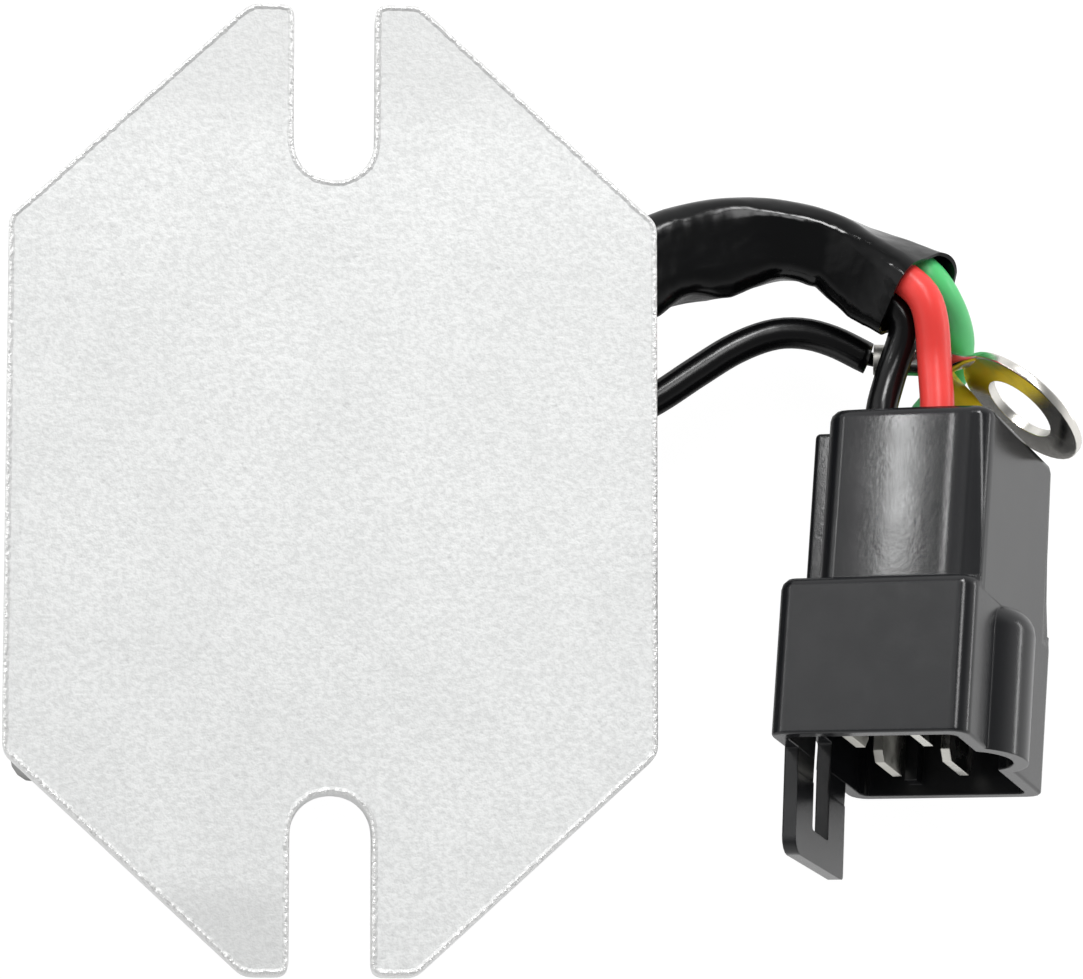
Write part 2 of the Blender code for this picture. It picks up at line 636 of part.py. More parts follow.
def board_parts():
    """The control parts, soldered flat on the board."""
    for name, middle, (width, length, height), finish_name in board_places():
        def section(inset, width=width, length=length, middle=middle):
            return rectangle(width / 2, length / 2, 0.3 * MM, middle, inset, steps=2)
        low = BOARD_TOP + GAP
        solid = soft_prism(section, low, low + height, "Z", 0.0, 0.2 * MM, steps=2)
        piece(name, solid, finish_name, in_body())


def capacitor_place():
    """Middle of the capacitor's near end, beside the board."""
    x = CAVITY_X - CAPACITOR_MARGIN - CAPACITOR_DIAMETER / 2
    z = FLOOR_Z + GAP + CAPACITOR_DIAMETER / 2
    return x, -CAVITY_Y + CAPACITOR_END, z


def smoothing_capacitor():
    """Radial can lying on its side, with its crimped groove."""
    x, y, z = capacitor_place()
    radius = CAPACITOR_DIAMETER / 2
    stations = [
        (0.0, 0.82), (0.4, 0.98), (1.6, 1.0), (2.1, 0.92), (2.6, 1.0), (11.4, 1.0), (12.0, 0.9),
    ]
    scale = CAPACITOR_LENGTH / 12.0
    rings = [on_axis(circle(radius * share, (x, z), 20), y + along * scale, "Y")
             for along, share in stations]
    piece("smoothing_capacitor", loft(rings), "can_sleeve", in_body())


def potting_compound():
    """Resin that fills the cavity around everything, open towards the floor."""
    half_x, half_y = CAVITY_X - GAP, CAVITY_Y - GAP
    block = prism(rectangle(half_x, half_y, 0.8 * MM), FLOOR_Z + GAP, BODY_HEIGHT)
    below = FLOOR_Z - SLACK
    left, right = DEVICE_COLUMNS[0] - DEVICE_WIDTH / 2, DEVICE_COLUMNS[-1] + DEVICE_WIDTH / 2
    reach = DEVICE_END + LEAD_REACH + GAP
    cuts = [
        box((left - GAP, -reach, below), (right + GAP, reach, BOARD_Z + GAP)),
        box((BOARD_LEFT - GAP, -BOARD_LENGTH / 2 - GAP, BOARD_Z - GAP),
            (BOARD_RIGHT + GAP, BOARD_LENGTH / 2 + GAP, BOARD_TOP + GAP)),
    ]
    for _, (x, y), (width, length, height), _ in board_places():
        low = (x - width / 2 - GAP, y - length / 2 - GAP, BOARD_Z)
        high = (x + width / 2 + GAP, y + length / 2 + GAP, BOARD_TOP + height + 2 * GAP)
        cuts.append(box(low, high))
    x, y, z = capacitor_place()
    half = CAPACITOR_DIAMETER / 2 + GAP
    cuts.append(box((x - half, y - GAP, below), (x + half, y + CAPACITOR_LENGTH + GAP, z + half)))
    for y, z, half in ((BUNDLE_Y, BUNDLE_Z, SLEEVE_HALF + GAP),
                       (GROUND_Y, GROUND_Z, WIRE_DIAMETER / 2 + GAP)):
        start = BOARD_RIGHT + 0.2 * MM
        cuts.append(box((start, y - half, below), (CAVITY_X + SLACK, y + half, z + half)))
    piece("potting_compound", carve(block, cut=cuts), "potting", in_body())


def wire_exit_grommet():
    """Rubber grommet in the wall's notch, with a flange outside."""
    inner, outer = CAVITY_X, FLANGE_IN + GROMMET_FLANGE
    def flange(inset):
        return grommet_section(GROMMET_LIP - inset)
    plug = prism(grommet_section(0.0), inner, FLANGE_IN + 0.5 * MM, "X")
    lip = soft_prism(flange, FLANGE_IN, outer, "X", 0.0, 0.4 * MM, steps=2)
    bundle = rectangle(SLEEVE_HALF, SLEEVE_HALF, WIRE_DIAMETER / 2, (BUNDLE_Y, BUNDLE_Z))
    ground = circle(WIRE_DIAMETER / 2 + GAP, (GROUND_Y, GROUND_Z), 16)
    holes = [prism(hole, inner - SLACK, outer + SLACK, "X") for hole in (bundle, ground)]
    piece("wire_exit_grommet", carve(plug, add=[lip], cut=holes), "rubber", in_body())


def smooth(points, spacing):
    """Points about evenly spaced along a smooth curve through the given ones."""
    knots = [Vector(point) for point in points]
    knots = [2 * knots[0] - knots[1]] + knots + [2 * knots[-1] - knots[-2]]
    fine = []
    for a, b, c, d in zip(knots, knots[1:], knots[2:], knots[3:]):
        for step in range(16):
            t = step / 16
            fine.append(0.5 * (2 * b + (c - a) * t + (2 * a - 5 * b + 4 * c - d) * t**2
                               + (3 * b - a - 3 * c + d) * t**3))
    fine.append(knots[-2])
    lengths = [0.0]
    for a, b in zip(fine, fine[1:]):
        lengths.append(lengths[-1] + (b - a).length)
    count = max(2, round(lengths[-1] / spacing))
    even = []
    index = 0
    for i in range(count + 1):
        target = lengths[-1] * i / count
        while index < len(fine) - 2 and lengths[index + 1] < target:
            index += 1
        span = lengths[index + 1] - lengths[index]
        even.append(fine[index].lerp(fine[index + 1], (target - lengths[index]) / span))
    return even


def frames(points):
    """The sideways and upward directions at each point of a nearly level route."""
    found = []
    for i in range(len(points)):
        ahead = (points[min(i + 1, len(points) - 1)] - points[max(i - 1, 0)]).normalized()
        side = Vector((0.0, 0.0, 1.0)).cross(ahead).normalized()
        found.append((side, ahead.cross(side)))
    return found


def twist_at(share):
    """The bundle turns an eighth of a turn on the second half of the sleeve."""
    late = max(0.0, min(1.0, (share - 0.55) / 0.45))
    return SLEEVE_TWIST * late * late * (3 - 2 * late)


def share_along(points, start_x):
    """How far each point lies from the sleeve's start to its mouth, from 0 to 1."""
    total, lengths = 0.0, []
    for a, b in zip([points[0]] + points, points):
        total += (b - a).length
        lengths.append(total)
    first = next(length for point, length in zip(points, lengths) if point.x >= start_x - GAP)
    return [(length - first) / (total - first) for length in lengths]


def bundle_wire(corner):
    """Where one wire of the bundle runs, as an offset from the bundle's route."""
    route = smooth(BUNDLE_ROUTE, WIRE_DIAMETER * BUNDLE_STEP)
    line = []
    for point, (side, up), share in zip(route, frames(route), share_along(route, SLEEVE_START)):
        turn = twist_at(share)
        across = corner[0] * math.cos(turn) - corner[1] * math.sin(turn)
        above = corner[0] * math.sin(turn) + corner[1] * math.cos(turn)
        line.append(point + (side * across + up * above) * WIRE_SPACING / 2)
    return line


def harness_sleeve():
    """Shrink sleeve that follows the four wires and opens a little at its mouth."""
    route = smooth(BUNDLE_ROUTE[3:], 2.2 * MM)
    shares = share_along(route, route[0].x)
    directions = frames(route)
    directions[0] = (Vector((0.0, 1.0, 0.0)), Vector((0.0, 0.0, 1.0)))  # square to the grommet
    loops = {"outer": [], "inner": []}
    for point, (side, up), share in zip(route, directions, shares):
        flare = 1 + (SLEEVE_FLARE - 1) * max(0.0, (share - 0.7) / 0.3) ** 2
        turn = twist_at(share)
        for name, half in (("inner", SLEEVE_HALF), ("outer", SLEEVE_HALF + SLEEVE_WALL)):
            corner = half - WIRE_SPACING / 2
            ring = rectangle(half * flare, half * flare, corner * flare, steps=4)
            loops[name].append([
                point + side * (a * math.cos(turn) - b * math.sin(turn))
                + up * (a * math.sin(turn) + b * math.cos(turn)) for a, b in ring])
    solid = bmesh.new()
    layers = loops["outer"] + list(reversed(loops["inner"]))
    rings = [[solid.verts.new(point) for point in ring] for ring in layers]
    for lower, upper in zip(rings, rings[1:] + rings[:1]):
        for i in range(len(lower)):
            j = (i + 1) % len(lower)
            solid.faces.new((lower[i], lower[j], upper[j], upper[i]))
    bmesh.ops.recalc_face_normals(solid, faces=solid.faces)
    piece("harness_sleeve", solid, "sleeve_black")


def connector_frame():
    """From the connector's own u, v, w to the part's frame."""
    turn = (Matrix.Rotation(CONNECTOR_YAW, 4, "Z") @ Matrix.Rotation(CONNECTOR_PITCH, 4, "X")
            @ Matrix.Rotation(CONNECTOR_ROLL, 4, "Y"))
    return Matrix.Translation(CONNECTOR_PLACE) @ turn


def cord(name, points, finish_name, radii=None):
    """A round wire along points, with closed ends."""
    curve = bpy.data.curves.new(name, "CURVE")
    curve.dimensions = "3D"
    curve.bevel_depth = WIRE_DIAMETER / 2
    curve.bevel_resolution = 2
    curve.use_fill_caps = True
    line = curve.splines.new("POLY")
    line.points.add(len(points) - 1)
    for i, (spot, point) in enumerate(zip(line.points, points)):
        spot.co = (*point, 1.0)
        spot.radius = radii[i] if radii else 1.0
    return link(name, curve, finish_name)


def harness_wire(name, corner, route, cell, lean, finish_name):
    """One wire from the board through the sleeve into its cell of the connector."""
    frame = connector_frame()
    u, w = cell
    depths = ((CONNECTOR_LENGTH + 1.3 * MM, 1.0), (CONNECTOR_LENGTH - 3.0 * MM, 0.7),
              (CONNECTOR_LENGTH - WIRE_SEAT, 0.0))
    free = [Vector(point) * MM for point in route]
    seated = [frame @ Vector((u + lean[0] * share, v, w + lean[1] * share)) for v, share in depths]
    bundled = bundle_wire(corner)
    lead_in = (bundled[-2] + bundled[-1] * 3) / 4
    loose = smooth([lead_in, bundled[-1]] + free + seated, WIRE_DIAMETER * FREE_STEP)
    cord(name, bundled + loose[1:], finish_name)


def ground_wire():
    """Single wire whose bared end lies in the ring terminal's barrel."""
    line = smooth(GROUND_ROUTE + [BARREL_START - barrel_direction() * GAP], WIRE_DIAMETER * FREE_STEP)
    bare = CONDUCTOR_DIAMETER / WIRE_DIAMETER
    end = line[-1]
    tip = [end + barrel_direction() * 0.02 * MM, end + barrel_direction() * BARREL_LENGTH * 0.6]
    cord("ground_wire", line + tip, "black_wire", [1.0] * len(line) + [bare, bare])


def ring_frame():
    """The ring's middle, with x along the tongue's line away from the wire and z out of its face."""
    along = Vector((math.cos(RING_HEADING), math.sin(RING_HEADING), -0.058)).normalized()
    level = Vector((0.0, 0.0, 1.0)).cross(along).normalized()
    rise = along.cross(level)
    face = -(level * math.cos(RING_LEAN)) + rise * math.sin(RING_LEAN)
    up = face.cross(along)
    turn = Matrix((along, up, face)).transposed().to_4x4()
    return Matrix.Translation(RING_MIDDLE) @ turn


def neck_start():
    """Where the tongue leaves the ring."""
    return ring_frame() @ Vector((-RING_DIAMETER / 2 + 0.6 * MM, 0.0, 0.0))


def barrel_direction():
    """From the wire towards the ring."""
    return (neck_start() - BARREL_START).normalized()


def ring_terminal():
    """One sheet-metal piece: eye, tongue and the barrel rolled round the wire."""
    frame = ring_frame()
    half = RING_THICKNESS / 2
    def eye(inset):
        return circle(RING_DIAMETER / 2 - inset, sides=40)
    disc = soft_prism(eye, -half, half, "Z", 0.15 * MM, 0.15 * MM, steps=2)
    disc.transform(frame)
    hole = prism(circle(RING_HOLE / 2, sides=32), -SLACK, SLACK)
    hole.transform(frame)
    along = barrel_direction()
    level = Vector((0.0, 0.0, 1.0)).cross(along).normalized()
    rise = along.cross(level)
    def oval(middle, across, thick, side, up):
        turns = [2 * math.pi * i / 20 for i in range(20)]
        shape = [(math.copysign(abs(math.cos(t)) ** 0.7, math.cos(t)),
                  math.copysign(abs(math.sin(t)) ** 0.7, math.sin(t))) for t in turns]
        return [middle + side * (a * thick / 2) + up * (b * across / 2) for a, b in shape]
    def tube(middle, diameter):
        turns = [2 * math.pi * i / 20 for i in range(20)]
        radius = diameter / 2
        return [middle + (level * math.cos(t) + rise * math.sin(t)) * radius for t in turns]
    face, up = frame.to_3x3() @ Vector((0, 0, -1)), frame.to_3x3() @ Vector((0, 1, 0))
    tongue = frame.to_3x3() @ Vector((1, 0, 0))
    root = neck_start()
    barrel_end = BARREL_START + along * BARREL_LENGTH
    rings = [
        tube(BARREL_START, BARREL_DIAMETER),
        tube(barrel_end - along * 0.8 * MM, BARREL_DIAMETER),
        oval(barrel_end + along * 0.3 * MM, BARREL_DIAMETER * 1.1, BARREL_DIAMETER * 0.7, level, rise),
        oval(barrel_end.lerp(root, 0.6), NECK_WIDTH * 0.85, RING_THICKNESS * 1.1, level, rise),
        oval(root, NECK_WIDTH, RING_THICKNESS * 0.98, face, up),
        oval(root + tongue * 1.2 * MM, NECK_WIDTH, RING_THICKNESS * 0.96, face, up),
    ]
    bore = loft([tube(BARREL_START + along * step, BARREL_BORE)
                 for step in (-SLACK, BARREL_LENGTH * 0.8)])
    solid = carve(disc, add=[loft(rings)], cut=[hole, bore])
    piece("ring_terminal", solid, "tinned_copper")


def hood_section(inset):
    """Outline in u and w of the connector's mating hood."""
    return rectangle(HOOD_WIDTH / 2, HOOD_DEPTH / 2, HOOD_CORNER, inset=inset)


def neck_section(inset):
    """Outline in u and w of the narrower half, flush with the hood on the right."""
    left, right = -HOOD_WIDTH / 2 + NECK_LEFT_STEP, HOOD_WIDTH / 2
    back, front = -HOOD_DEPTH / 2 + NECK_BACK_STEP, HOOD_DEPTH / 2 - NECK_FRONT_STEP
    middle = ((left + right) / 2, (back + front) / 2)
    return rectangle((right - left) / 2, (front - back) / 2, NECK_CORNER, middle, inset)


def cavities():
    """The (u, w) places of the four contacts."""
    return [(TAB_SHIFT + column * TAB_COLUMNS / 2, row * TAB_ROWS / 2)
            for row in (1, -1) for column in (-1, 1)]


def latch_arm():
    """Springy arm in the plane of the left wall, with a window that a catch snaps into."""
    left = -HOOD_WIDTH / 2
    back, front = ARM_MIDDLE - ARM_WIDTH / 2, ARM_MIDDLE + ARM_WIDTH / 2
    corners = [
        (back, -ARM_LENGTH + 0.5 * MM, 0.4 * MM), (front, -ARM_LENGTH, ARM_CORNER),
        (front, HOOD_WALL, 0.1 * MM), (back, HOOD_WALL, 0.1 * MM),
    ]
    outline = filleted(corners, 4)
    solid = loft([[(u, v, w) for w, v in outline] for u in (left, left + ARM_THICKNESS)])
    for vertex in solid.verts:
        vertex.co.x += max(0.0, -vertex.co.y) * ARM_LEAN
    return solid


def arm_window():
    """The window's cutter, which also opens the hood's wall behind it."""
    half, left = ARM_WINDOW / 2, -HOOD_WIDTH / 2
    low = -ARM_LENGTH + ARM_WINDOW_END
    outline = rectangle(half, ARM_WINDOW_LENGTH / 2, 0.3 * MM,
                        (ARM_MIDDLE, low + ARM_WINDOW_LENGTH / 2), steps=2)
    ends = (left - SLACK, left + ARM_THICKNESS + ARM_LENGTH * ARM_LEAN + SLACK)
    return loft([[(u, v, w) for w, v in outline] for u in ends])


def key_place():
    """Where the rib's arc has its middle, inside the right wall."""
    return HOOD_WIDTH / 2 - (KEY_RADIUS - KEY_HEIGHT), KEY_MIDDLE


def key_rib():
    """Rounded rib on the right side, with a domed end."""
    sunk = KEY_RADIUS - KEY_HEIGHT
    rings = [on_axis(circle(KEY_RADIUS, key_place(), 40), 0.0, "Y")]
    for turn in (0.0, 20.0, 40.0, 60.0, 80.0):
        along = KEY_LENGTH - KEY_HEIGHT * (1 - math.sin(math.radians(turn)))
        radius = sunk + KEY_HEIGHT * math.cos(math.radians(turn))
        rings.append(on_axis(circle(radius, key_place(), 40), along, "Y"))
    rings.append(on_axis(circle(sunk * 0.8, key_place(), 40), KEY_LENGTH, "Y"))
    return loft(rings)


def connector_housing():
    """Moulded four-way housing: hood, neck, rail, keyway, latch arm and contact cavities."""
    hood = soft_prism(hood_section, 0.0, HOOD_LENGTH, "Y", 0.25 * MM, HOOD_EDGE)
    inner_u, inner_w = HOOD_WIDTH / 2 - HOOD_WALL, HOOD_DEPTH / 2 - HOOD_WALL
    neck = soft_prism(neck_section, HOOD_LENGTH - NECK_ROOT, CONNECTOR_LENGTH, "Y", 0.0, NECK_EDGE)
    for vertex in neck.verts:
        rise = max(0.0, vertex.co.y - HOOD_LENGTH) / NECK_LENGTH
        vertex.co.z *= 1 - NECK_DRAFT * rise / (HOOD_DEPTH / 2)
    rail_place = (-HOOD_WIDTH / 2 + NECK_LEFT_STEP, RAIL_MIDDLE)
    def rail_section(inset):
        return rectangle(RAIL_HEIGHT, RAIL_WIDTH / 2, 0.5 * MM, rail_place, inset)
    rail = soft_prism(rail_section, HOOD_LENGTH - NECK_ROOT, HOOD_LENGTH + RAIL_LENGTH, "Y",
                      0.0, 0.4 * MM)
    mating = prism(rectangle(inner_u, inner_w, 0.8 * MM), -SLACK, HOOD_CAVITY, "Y")
    groove = prism(circle(KEY_RADIUS - HOOD_WALL, key_place(), 32), -SLACK, HOOD_CAVITY, "Y")
    cuts = [mating, groove, arm_window()]
    for u, w in cavities():
        slot = rectangle(TAB_THICKNESS / 2 + GAP, TAB_WIDTH / 2 + GAP, 0.2 * MM, (u, w), steps=1)
        throat = rectangle(TAB_THICKNESS, SHANK_WIDTH / 2 + GAP, 0.2 * MM, (u, w), steps=1)
        cell = (math.copysign(CELL_COLUMNS / 2, u), w)
        opening = rectangle(CELL_WIDTH / 2, CELL_DEPTH / 2, CELL_CORNER, cell, steps=2)
        cuts.append(prism(slot, HOOD_CAVITY - SLACK, SHOULDER + GAP, "Y"))
        cuts.append(prism(throat, SHOULDER, FERRULE_START, "Y"))
        cuts.append(prism(opening, FERRULE_START - GAP, CONNECTOR_LENGTH + SLACK, "Y"))
    solid = carve(hood, add=[neck, rail, key_rib(), latch_arm()], cut=cuts)
    low_w = -inner_w - 0.3 * MM
    half = DIVIDER_THICKNESS / 2
    divider = box((DIVIDER_PLACE - half, TAB_RECESS, low_w),
                  (DIVIDER_PLACE + half, HOOD_CAVITY + 0.3 * MM, low_w + 0.3 * MM + DIVIDER_HEIGHT))
    piece("connector_housing", carve(solid, add=[divider]), "black_plastic", connector_frame())


def tab_terminal(name, u, w):
    """Blade with a chamfered point and a ferrule that grips the wire."""
    half, shank = TAB_WIDTH / 2, SHANK_WIDTH / 2
    blade = [
        (w - half, TAB_RECESS + TAB_POINT), (w - half + TAB_POINT * 0.8, TAB_RECESS),
        (w + half - TAB_POINT * 0.8, TAB_RECESS), (w + half, TAB_RECESS + TAB_POINT),
        (w + half, SHOULDER), (w + shank, SHOULDER), (w + shank, FERRULE_START),
        (w - shank, FERRULE_START), (w - shank, SHOULDER), (w - half, SHOULDER),
    ]
    def flat(at_u):
        return [(at_u, v, w_) for w_, v in blade]
    solid = loft([flat(u - TAB_THICKNESS / 2), flat(u + TAB_THICKNESS / 2)])
    top = FERRULE_START + FERRULE_LENGTH
    ferrule = prism(circle(FERRULE_DIAMETER / 2, (u, w), 16), FERRULE_START - 0.05 * MM, top, "Y")
    piece(name, carve(solid, add=[ferrule]), "tinned_brass", connector_frame())


def build():
    """Every sub-part of the regulator."""
    clear_scene()
    mounting_plate()
    heat_sink_housing()
    rim_gasket()
    thermal_pad()
    for i, column in enumerate(DEVICE_COLUMNS):
        power_device(f"thyristor_{i + 1}", column, 1)
        power_device(f"rectifier_diode_{i + 1}", column, -1)
    clamp_bar()
    for i, place in enumerate(screw_places()):
        clamp_screw(f"clamp_screw_{i + 1}", place)
    circuit_board()
    board_parts()
    smoothing_capacitor()
    potting_compound()
    wire_exit_grommet()
    harness_sleeve()
    cells = cavities()
    harness_wire("black_wire", (-1, 1), BLACK_ROUTE, cells[0], BLACK_LEAN, "black_wire")
    harness_wire("red_wire", (1, 1), RED_ROUTE, cells[1], RED_LEAN, "red_wire")
    harness_wire("green_wire", (1, -1), GREEN_ROUTE, cells[2], GREEN_LEAN, "green_wire")
    harness_wire("yellow_wire", (-1, -1), YELLOW_ROUTE, cells[3], YELLOW_LEAN, "yellow_wire")
    ground_wire()
    ring_terminal()
    connector_housing()
    for i, (u, w) in enumerate(cavities()):
        tab_terminal(f"tab_terminal_{i + 1}", u, w)


build()
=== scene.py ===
"""Looks of the voltage regulator: finishes, worn edges, cords, camera and light."""

import math

import bmesh
import bpy
import numpy as np
from mathutils import Matrix, Vector, noise


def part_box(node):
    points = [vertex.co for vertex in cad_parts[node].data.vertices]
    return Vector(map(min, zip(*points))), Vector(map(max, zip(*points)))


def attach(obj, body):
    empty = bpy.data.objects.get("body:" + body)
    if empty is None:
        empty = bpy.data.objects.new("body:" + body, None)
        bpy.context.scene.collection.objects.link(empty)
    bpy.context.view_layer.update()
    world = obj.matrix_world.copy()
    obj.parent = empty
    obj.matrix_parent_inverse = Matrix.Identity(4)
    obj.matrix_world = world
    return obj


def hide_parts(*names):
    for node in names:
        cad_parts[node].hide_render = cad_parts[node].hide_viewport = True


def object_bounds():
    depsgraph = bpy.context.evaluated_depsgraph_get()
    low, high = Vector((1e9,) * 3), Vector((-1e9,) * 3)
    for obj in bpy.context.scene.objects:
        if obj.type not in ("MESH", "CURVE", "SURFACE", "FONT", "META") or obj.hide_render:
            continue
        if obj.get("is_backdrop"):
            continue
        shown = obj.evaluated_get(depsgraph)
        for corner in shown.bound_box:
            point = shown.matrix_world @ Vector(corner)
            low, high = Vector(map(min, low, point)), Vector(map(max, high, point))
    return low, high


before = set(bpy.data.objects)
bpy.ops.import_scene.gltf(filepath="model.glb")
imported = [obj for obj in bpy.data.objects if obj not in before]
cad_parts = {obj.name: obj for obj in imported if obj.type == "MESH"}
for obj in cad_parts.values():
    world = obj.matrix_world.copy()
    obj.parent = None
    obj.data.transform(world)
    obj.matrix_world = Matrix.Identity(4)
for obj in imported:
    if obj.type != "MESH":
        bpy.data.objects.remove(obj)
BOUNDS_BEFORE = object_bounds()
MM = 0.001

# Camera, from the photograph: place in mm, rows of its turn, focal length in pixels
CAMERA_PLACE = (-13.78, -81.70, 550.86)
CAMERA_ROWS = [
    (0.99827, 0.00043, 0.05872),
    (-0.00937, 0.98831, 0.15218),
    (-0.05797, -0.15246, 0.98661),
]
FOCAL_PIXELS = 6500.0
IMAGE_WIDTH = 1083.0
SENSOR_WIDTH = 36.0
CLIP_START = 0.05
CLIP_END = 20.0

# Routes and sizes, in mm
BUNDLE_ROUTE = [
    (4.5, 16.4, 14.6), (10.5, 16.4, 14.6), (16.0, 16.4, 14.6), (19.4, 16.4, 14.6),
    (20.4, 16.5, 14.6), (22.2, 17.3, 14.45), (24.6, 19.1, 14.1), (27.3, 20.65, 13.6),
    (30.4, 21.9, 13.0), (33.15, 22.65, 12.5), (35.8, 23.0, 12.2), (38.7, 23.1, 12.15),
    (42.05, 22.4, 12.5), (44.5, 21.2, 13.1), (47.2, 19.8, 13.9), (49.0, 18.5, 14.6),
]
BLACK_ROUTE = [(48.5, 15.7, 14.6), (48.1, 13.8, 14.2), (47.4, 11.9, 14.1), (46.8, 9.9, 14.5)]
RED_ROUTE = [(49.8, 17.4, 17.2), (50.4, 15.2, 16.9), (50.6, 12.8, 16.4), (50.7, 10.5, 16.6)]
YELLOW_ROUTE = [(50.8, 17.1, 12.0), (50.9, 15.7, 9.5), (51.5, 13.7, 7.3), (52.6, 11.6, 6.8),
                (54.1, 9.8, 7.7)]
GREEN_ROUTE = [(51.4, 18.7, 14.2), (52.8, 17.0, 11.6), (53.8, 15.1, 7.9), (53.7, 13.2, 4.6),
               (52.7, 11.2, 3.6), (51.0, 9.2, 4.6)]
GROUND_ROUTE = [
    (4.5, 6.2, 12.6), (11.0, 6.2, 12.6), (16.5, 6.2, 12.6), (20.5, 6.5, 12.6),
    (24.2, 7.6, 12.5), (27.6, 9.4, 12.3), (30.95, 11.7, 11.9), (34.2, 13.8, 11.5),
    (37.3, 15.1, 11.1), (40.0, 15.35, 10.8), (42.7, 14.75, 10.5),
]
GROUND_DIAMETER = 2.7
BARREL_START = (45.75, 13.35, 10.18)
BARREL_HEADING = (0.975, -0.215, 0.06)
CRIMP = (47.5, 49.0)  # X over which the tinned metal turns from dull to bright
CONDUCTOR_SHARE = 0.44  # of the wire's own diameter
CONDUCTOR_REACHES = (0.03, 1.9, 4.0)  # of the conductor's points into the barrel
CURVE_POINTS = 24  # worked out between two points of a route
ROUTE_STEP = 0.4
CORD_STEP = 0.7
KINK_PASSES = 6
ENDS_KEPT = 2
LEAD_POINTS = 5  # of the bundle, which give a loose stretch its first heading

# Connector: u across, v from the mating end to the wires, w out of the broad face
CONNECTOR = (
    Matrix.Translation((48.26, -21.92, 15.16))
    @ Matrix.Rotation(math.radians(-4.67), 4, "Z")
    @ Matrix.Rotation(math.radians(-6.84), 4, "X")
    @ Matrix.Rotation(math.radians(-24.7), 4, "Y")
)
NEARLY = 0.01  # how close counts as level
HOOD_LENGTH = 13.5
HOOD_STEP = 0.3  # v over which the finish changes at the hood's end
SIDE = 8.55  # the right side of both halves, in u
RIM_DEPTH = 0.9
RIM_FROM = 7.3  # u past which the rim's points move out to the side
RIM_HEIGHTS = (7.5, 10.0)  # w of those points, above and below the middle
NECK_FRONT = 10.1
NECK_MIDDLE = 1.35
NECK_HALF = 7.2
CROWN_HEIGHT = 0.32
CROWN_DEPTH = 2.6  # below the neck's front, where the crown begins
CROWN_FADE = 2.2  # w over which it reaches its full height
CROWN_ABOVE = 0.1  # above the front, which its points don't pass
RIDGE_PLACE = 5.7
RIDGE_HEIGHT = 0.03
RIDGE_WIDTH = 0.4
STRIP_FIRST = -5.4
STRIP_WIDTH = 0.3
STRIP_COUNT = 44
STRIP_START = 1.0  # past the hood's end
STRIP_DEPTH = 0.6  # below the neck's front
RAIL_RIGHT = -5.8  # the rail on the neck's left stands out past this u
RAIL_TIP = (23.5, 26.0)  # v between which the rail's end lies
RAIL_EXTRA = 1.8  # how much further the rail reaches than the solid's
# Where each wire's middle lies in the connector, by v, with the share of its lean there
SEAT_DEPTHS = ((29.75, 1.0), (25.45, 0.7), (19.05, 0.0))

# Name: diameter, corner of the bundle, listed points, contact's (u, w) and lean in (u, w)
WIRES = {
    "black_wire": (2.68, (-1, 1), BLACK_ROUTE, (-3.35, 5.0), (0.8, 0.0)),
    "red_wire": (2.9, (1, 1), RED_ROUTE, (2.55, 5.0), (-0.2, 0.0)),
    "green_wire": (2.7, (1, -1), GREEN_ROUTE, (-3.35, -5.0), (0.4, 0.0)),
    "yellow_wire": (2.7, (-1, -1), YELLOW_ROUTE, (2.55, -5.0), (0.75, 0.6)),
}

# Sleeve, in mm and in shares of its length
SLEEVE_START = 19.4  # in X
SLEEVE_SLACK = 0.001  # share before its start at which a point still counts
SLEEVE_POINTS = 96
SLEEVE_OUTER = (3.2, 1.75)  # half width and corner radius
SLEEVE_INNER = (2.9, 1.45)
SLEEVE_GLOSS = (35.0, 40.0)  # X over which it turns glossier
INNER_CREASES = 0.7  # how much of a crease shows inside
SWELL_POWER = 1.5
WIRE_SPACING = 2.82
WIRE_TWIST = math.radians(45)
TWIST_FROM = 0.7
MOUTH_FROM = 0.8
MOUTH_FLARE = 0.1
MOUTH_REACH = 2.4  # how far its lower left runs past its top, as it is cut askew
MOUTH_TURN = math.radians(60)
# The sleeve's section along it: share, twist in degrees, and how far its left (+Y) and right
# sides stand out past a plain square of the four wires
SLEEVE_STATIONS = [
    (0.00, 2.0, 0.2, 0.0), (0.10, 3.0, 0.6, 0.5), (0.20, 4.0, 0.8, 0.8), (0.29, 4.0, 0.85, 0.75),
    (0.34, 4.0, 0.9, 1.0), (0.40, 5.0, 0.8, 1.4), (0.45, 5.0, 0.7, 1.45), (0.50, 6.0, 0.6, 1.2),
    (0.55, 6.0, 0.5, 0.9), (0.59, 7.0, 0.35, 0.55), (0.64, 8.0, 0.05, 0.25),
    (0.70, 9.0, -0.1, 0.0), (0.76, 13.0, -0.25, 0.1), (0.82, 19.0, -0.3, 0.75),
    (0.88, 29.0, -0.35, 1.1), (0.94, 38.0, -0.25, 0.9), (1.00, 45.0, 0.05, 0.5),
]
# Soft ridges and dents of the sleeve: share along, angle round in degrees (0 left, 90 up),
# length, width in degrees, height and slant
CREASES = [
    (0.10, 168, 0.035, 26, -0.25, 0.0), (0.20, 160, 0.05, 28, 0.3, 0.0),
    (0.33, 164, 0.05, 26, -0.35, 0.0), (0.45, 158, 0.06, 30, 0.2, 0.0),
    (0.60, 150, 0.05, 30, -0.2, 0.0), (0.72, 165, 0.05, 30, 0.25, 0.0),
    (0.84, 160, 0.05, 26, -0.2, 0.0),
    (0.62, 70, 0.10, 12, 0.2, 20.0), (0.78, 84, 0.08, 12, 0.22, 20.0),
    (0.88, 112, 0.05, 16, 0.25, 40.0), (0.50, 48, 0.07, 12, 0.12, 10.0),
    (0.25, 95, 0.12, 24, -0.12, 0.0), (0.42, 105, 0.08, 20, 0.12, 0.0),
]
